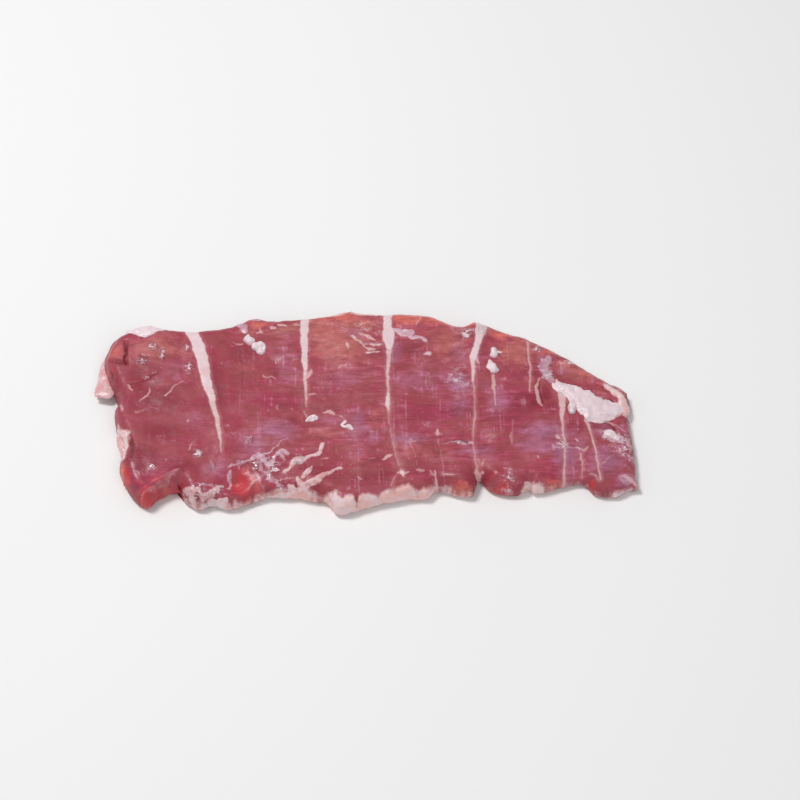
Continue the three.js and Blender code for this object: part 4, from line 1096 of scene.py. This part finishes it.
    # Painted highlights: white glints on the crinkles of the wet patches, drawn as colour.
    painted_glints = m.ease(crinkle + (grain - 0.5) * 0.4, 0.52, 0.6) * wet
    colour = m.mix(painted_glints * 0.95, colour, look.fat)
    colour = m.mix(film * 0.85, colour, m.mix(film * pale * 0.6, look.film, look.fat))
    colour = m.mix(strand * 0.95, colour, m.mix(pale * 0.6, look.strand, look.fat))
    colour = m.mix(haze, colour, look.strand)
    colour = m.mix(thread * 0.85, colour, look.tendon)
    white = m.layer("white")
    whiteness = m.ease(white + (pale - 0.5) * 0.2 + ragged * 0.15, 0.4, 0.9)
    shown_band = band * m.ease(white, -0.2, 0.8)
    colour = m.mix(shown_band, colour, m.mix(whiteness * 0.75, look.tendon, look.fat))
    # Fat; where it takes the rim fat's colour it carries that colour's painted light on the front wall.
    colour = m.mix(fat, colour, m.mix(pale * 0.8, look.rim_fat, look.fat))

    raised = m.larger(m.larger(band * white, strand), fat)
    moist = m.ease(hue, 0.35, 0.65)
    height = fibres * fibred * 0.2 + grain * 0.05 + fine * 0.12 + crinkle * wet * 1.3 + raised * 0.12
    return m.finish(
        {
            "Base Color": colour,
            "Roughness": 0.5 - moist * 0.1 - wet * 0.26 - film * 0.1,
            "Specular IOR Level": 0.4,
            "Coat Weight": 0.06 + moist * 0.08 + wet * 0.85 + film * 0.2,
            "Coat Roughness": 0.12,
            "Subsurface Weight": 0.1,
            "Subsurface Radius": (1.0, 0.35, 0.25),
            "Subsurface Scale": 1.6 * MM,
        },
        height,
    )


def fat_material(look):
    """Soft white fat, clouded with a little pink, under a dull wet gloss."""
    m = Finish("soft_fat")
    clouds = m.speckle((5, 3.5, 4), detail=4, seed=11, distortion=0.6)
    grain = m.speckle((1.1, 0.9, 1), detail=3, seed=12)
    pink = m.ease(clouds + (grain - 0.5) * 0.2, 0.5, 0.8)
    colour = m.mix(pink * 0.25, look.fat, look.rim_fat)
    return m.finish_soft(colour, 0.42, (1.0, 0.6, 0.5), grain * 0.08 + clouds * 0.35)


def film_material(look):
    """Thin films that stick out: pinkish as the strands are, clouded with white, under a soft
    gloss."""
    m = Finish("wet_film")
    clouds = m.speckle((4, 4, 4), detail=3, seed=21, distortion=0.5)
    grain = m.speckle((1, 1, 1), detail=2, seed=22)
    white = m.ease(clouds + (grain - 0.5) * 0.3, 0.3, 0.7)
    colour = m.mix(white * 0.5 + 0.05, look.strand, look.fat)
    return m.finish_soft(colour, 0.4, (1.0, 0.5, 0.5), clouds * 0.2 + grain * 0.04)


# ---------------------------------------------------------------- what lies on the top

# Fat between two edges: name, near edge, far edge, height above the top.
FAT_RIBBONS = (
    (
        "end_fat",
        ((79.5, 6), (83, 3), (86, 1), (88.5, -4), (92, -8.6), (94, -12.6), (97.5, -12.4), (101, -12.2),
         (106, -10), (111.5, -7)),
        ((80, 8.8), (84, 8.7), (88, 7.2), (92, 6.2), (96, 4.4), (99, 2), (102, 0.6), (105, -0.6),
         (108, -1.4), (110.5, -4)),
        1.5,
    ),
    (
        "back_fat",
        ((-104.5, 36.8), (-99.5, 38.4), (-96, 36.6), (-92.5, 35.6), (-88, 37.6), (-82.5, 40)),
        ((-105.2, 38), (-102, 41), (-98.5, 42.4), (-94, 43.8), (-89, 42.8), (-82.8, 41.4)),
        0.9,
    ),
)
BEADS = (  # name, then x, y and half width along it, height above the top
    ("bead_a", ((-48.7, 35.3, 1.8), (-47.2, 33.2, 1.9)), 1.7),
    ("bead_b", ((-44.8, 31, 2.4), (-43.2, 30.6, 2.9), (-42.8, 28, 1.9)), 2.0),
    ("bead_c", ((57, 25.8, 1.5), (57, 22.8, 1.6)), 1.3),
    ("bead_c_spur", ((58.8, 24.5, 0.7), (60.3, 24.3, 0.5)), 0.6),
    ("bead_d", ((55, 20, 0.9), (55.8, 17.4, 2.3), (56.5, 15, 2)), 1.4),
    ("bead_e", ((88.8, -2.4, 1.6), (88.4, -5.2, 2.0), (88, -7.4, 1.3)), 1.8),
    ("bead_f", ((102.6, -18.2, 2.2), (104, -18.9, 2.1), (106.3, -20.9, 1.1)), 1.1),
    ("bead_g", ((-7.3, -10.5, 0.9), (-8.6, -12, 0.8), (-7.5, -13, 0.8), (-5.8, -13.3, 1.2),
                (-4.5, -14.7, 0.8)), 0.8),
    ("bead_h", ((-23.5, -9, 0.7), (-22, -8, 1.3), (-20.5, -7.4, 1.6), (-19.5, -7.4, 1.2)), 0.9),
)
# Films that stick out under the left end: name, near edge, far edge, the height that each lies at,
# and how far it rises above that.
END_FILMS = (
    (
        "end_film_upper",
        ((-104.5, 10), (-105, 16), (-106, 24), (-106, 31), (-105, 38)),
        ((-111, 9.8), (-113.6, 12), (-113.2, 18), (-112, 27), (-108.5, 37)),
        3.2, 0.7,
    ),
    (
        "end_film_fold",
        ((-105, 9.5), (-105, 11.5), (-105, 14.5)),
        ((-109.5, 8.6), (-113.4, 10.8), (-113, 14.6)),
        4.2, 0.9,
    ),
    (
        "end_film_lower",
        ((-97.5, -25), (-97, -17), (-98, -12), (-101, -7)),
        ((-100, -25.5), (-101.4, -20), (-103, -14.5), (-104, -8.5)),
        3.6, 0.9,
    ),
)


# ---------------------------------------------------------------- settings, operators and panel


def colour_property(name, description, screen_colour):
    """A setting that holds a colour, given as 0 to 255 a channel."""
    return bpy.props.FloatVectorProperty(
        name=name, description=description, subtype="COLOR", size=3, min=0, max=1,
        default=tone(*screen_colour),
    )


class SteakSizes(bpy.types.PropertyGroup):
    """The steak's thickness and the camera's view."""

    thickness: bpy.props.FloatProperty(
        name="Thickness", description="Thickness of the middle of the steak",
        unit="LENGTH", default=9.5 * MM,
    )
    lens: bpy.props.FloatProperty(
        name="Lens", description="Focal length of the camera in millimetres, on a 36 mm sensor",
        default=97.8,
    )
    pitch: bpy.props.FloatProperty(
        name="Pitch", description="How far the camera looks down",
        subtype="ANGLE", default=math.radians(52.67),
    )


class SteakLook(bpy.types.PropertyGroup):
    """Colours of the steak."""

    meat: colour_property("Meat", "Plain muscle", (162, 68, 78))
    warm: colour_property("Warm meat", "Brownish muscle, mostly near the back edge", (184, 100, 96))
    # Rim meat: partly painted light, the orange of thin rims that light shines through.
    orange: colour_property("Rim meat", "Thin orange-red muscle at the rims", (210, 104, 94))
    # Dark meat: deep red muscle, partly painted shade where it lies in the hollows of the top.
    dark: colour_property("Dark meat", "Deep red muscle in the hollows of the top", (138, 36, 55))
    magenta: colour_property("Magenta meat", "Purplish red muscle", (158, 45, 77))
    # Veil: the lilac of a thin film, partly painted sheen.
    veil_and_sheen: colour_property("Veil", "Muscle under a lilac film", (169, 101, 130))
    # Fresh meat: bright cut muscle, partly painted light on the front walls.
    fresh_and_lit: colour_property("Fresh meat", "Bright cut muscle", (190, 55, 64))
    # Crack: painted shade at the bottom of cracks and folds.
    crack_and_shade: colour_property("Crack", "The bottom of cracks and folds", (110, 22, 34))
    tendon: colour_property("Tendon", "Threads, and tendon bands where they are pink", (218, 172, 172))
    strand: colour_property("Strand", "Strands of pinkish fat, crumbs and end films", (216, 158, 158))
    # Fat: also the colour of the painted highlights, the wet glints.
    fat: colour_property("Fat", "White fat, white tendon and wet glints", (230, 210, 216))
    # Rim fat: pinkish fat, made lighter as painted light on the front wall, which faces down and away
    # from the lamps.
    rim_fat: colour_property("Rim fat", "Pinkish fat along the rims", (237, 185, 180))
    # Film: also the colour of the painted sheen on wet patches.
    film: colour_property("Film", "Lilac films, hairs and wet sheen", (204, 156, 176))


class STEAK_OT_meat(bpy.types.Operator):
    """Make the slab of meat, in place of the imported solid"""

    bl_idname = "steak.meat"
    bl_label = "Meat"

    def execute(self, context):
        scene = context.scene
        points, faces, layers = slab_mesh(scene.steak_sizes.thickness / MM)
        piece = make_piece("meat", points, faces, meat_material(scene.steak_look), layers)
        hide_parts("pork_steak")
        return {"FINISHED"}


class STEAK_OT_fat(bpy.types.Operator):
    """Make the fat that lies on the top in lumps and beads"""

    bl_idname = "steak.fat"
    bl_label = "Fat"

    def execute(self, context):
        thickness = context.scene.steak_sizes.thickness / MM
        material = fat_material(context.scene.steak_look)
        for number, (name, near_edge, far_edge, rise) in enumerate(FAT_RIBBONS):
            axis = ribbon_axis(near_edge, far_edge, step=0.3)
            points, faces = roll_mesh(
                axis, rise=rise, sunk=0.6, thickness=thickness, seed=100 + number,
                lumps=0.14, knobs=0.2, sides=96, blunt=0.6,
            )
            make_piece(name, points, faces, material)
        for number, (name, stroke, rise) in enumerate(BEADS):
            axis = stroke_axis(stroke, step=0.2)
            points, faces = roll_mesh(
                axis, rise=rise, sunk=0.7, thickness=thickness, seed=200 + number,
                lumps=0.2, knobs=0.3, sides=32, blunt=0.8,
            )
            make_piece(name, points, faces, material)
        return {"FINISHED"}


class STEAK_OT_films(bpy.types.Operator):
    """Make the wet films that stick out at the left end"""

    bl_idname = "steak.films"
    bl_label = "Films"

    def execute(self, context):
        thickness = context.scene.steak_sizes.thickness / MM
        material = film_material(context.scene.steak_look)
        for number, (name, near_edge, far_edge, level, rise) in enumerate(END_FILMS):
            axis = ribbon_axis(near_edge, far_edge, step=0.3)
            points, faces = roll_mesh(
                axis, rise=rise, sunk=0.4, thickness=thickness, seed=400 + number,
                lumps=0.1, knobs=0.3, sides=48, level=level,
            )
            make_piece(name, points, faces, material)
        return {"FINISHED"}


class STEAK_OT_stage(bpy.types.Operator):
    """Make the pale floor, the soft light and the camera"""

    bl_idname = "steak.stage"
    bl_label = "Stage"

    def execute(self, context):
        scene = context.scene
        scene.view_settings.view_transform = "Standard"
        make_floor(scene)
        make_light(scene)
        make_camera(scene)
        return {"FINISHED"}


FLOOR_HALF = 3.0  # metres
FLOOR_COLOUR = (0.86, 0.86, 0.86)
SENSOR_WIDTH = 36.0  # millimetres
CAMERA_PLACE = (-0.50, -555.26, 738.06)  # millimetres
CAMERA_YAW = math.radians(1.70)  # to the right of +Y
CAMERA_ROLL = math.radians(-0.09)
SOFTBOXES = (  # name, place and size in metres, power in watts
    ("key", (-0.5, 0.3, 1.25), 0.36, 11.0),
    ("front", (0.5, -1.2, 1.1), 1.2, 4.5),
)
WORLD_LIGHT = 0.42


def make_floor(scene):
    """A flat pale square under the steak."""
    m = Finish("floor")
    material = m.finish(
        {"Base Color": (*FLOOR_COLOUR, 1), "Roughness": 0.7, "Specular IOR Level": 0.2}
    )
    mesh = bpy.data.meshes.new("floor")
    h = FLOOR_HALF
    mesh.from_pydata([(-h, -h, 0), (h, -h, 0), (h, h, 0), (-h, h, 0)], [], [(0, 1, 2, 3)])
    mesh.materials.append(material)
    floor = bpy.data.objects.new("floor", mesh)
    scene.collection.objects.link(floor)


def make_light(scene):
    """Two square soft lights that face the steak, in an evenly lit white room."""
    for name, place, size, power in SOFTBOXES:
        data = bpy.data.lights.new(name, "AREA")
        data.size, data.energy = size, power
        lamp = bpy.data.objects.new(name, data)
        lamp.location = place
        lamp.rotation_euler = (-lamp.location).to_track_quat("-Z", "Y").to_euler()
        scene.collection.objects.link(lamp)
    world = bpy.data.worlds.new("room")
    world.use_nodes = True
    background = world.node_tree.nodes["Background"]
    background.inputs["Color"].default_value = (1, 1, 1, 1)
    background.inputs["Strength"].default_value = WORLD_LIGHT
    scene.world = world


def make_camera(scene):
    """The camera stands before and above the steak and looks down by its pitch and a little to the
    right."""
    data = bpy.data.cameras.new("camera")
    data.sensor_width, data.lens = SENSOR_WIDTH, scene.steak_sizes.lens
    camera = bpy.data.objects.new("camera", data)
    camera.location = [value * MM for value in CAMERA_PLACE]
    camera.rotation_euler = (math.pi / 2 - scene.steak_sizes.pitch, 0, -CAMERA_YAW)
    camera.rotation_euler.rotate_axis("Z", CAMERA_ROLL)
    scene.collection.objects.link(camera)
    scene.camera = camera


class STEAK_PT_panel(bpy.types.Panel):
    """Lists the steps and their settings"""

    bl_label = "Flank Steak"
    bl_idname = "STEAK_PT_panel"
    bl_space_type = "VIEW_3D"
    bl_region_type = "UI"
    bl_category = "Steak"

    def draw(self, context):
        for step in STEPS:
            self.layout.operator(step.bl_idname)
        for group in (context.scene.steak_sizes, context.scene.steak_look):
            for name in group.__annotations__:
                self.layout.prop(group, name)


STEPS = (STEAK_OT_meat, STEAK_OT_fat, STEAK_OT_films, STEAK_OT_stage)
CLASSES = (SteakSizes, SteakLook, *STEPS, STEAK_PT_panel)


def register():
    for cls in CLASSES:
        bpy.utils.register_class(cls)
    bpy.types.Scene.steak_sizes = bpy.props.PointerProperty(type=SteakSizes)
    bpy.types.Scene.steak_look = bpy.props.PointerProperty(type=SteakLook)


def unregister():
    del bpy.types.Scene.steak_look
    del bpy.types.Scene.steak_sizes
    for cls in reversed(CLASSES):
        bpy.utils.unregister_class(cls)


def main():
    register()
    bpy.ops.steak.meat()
    bpy.ops.steak.fat()
    bpy.ops.steak.films()
    bpy.ops.steak.stage()


if __name__ == "__main__":
    main()
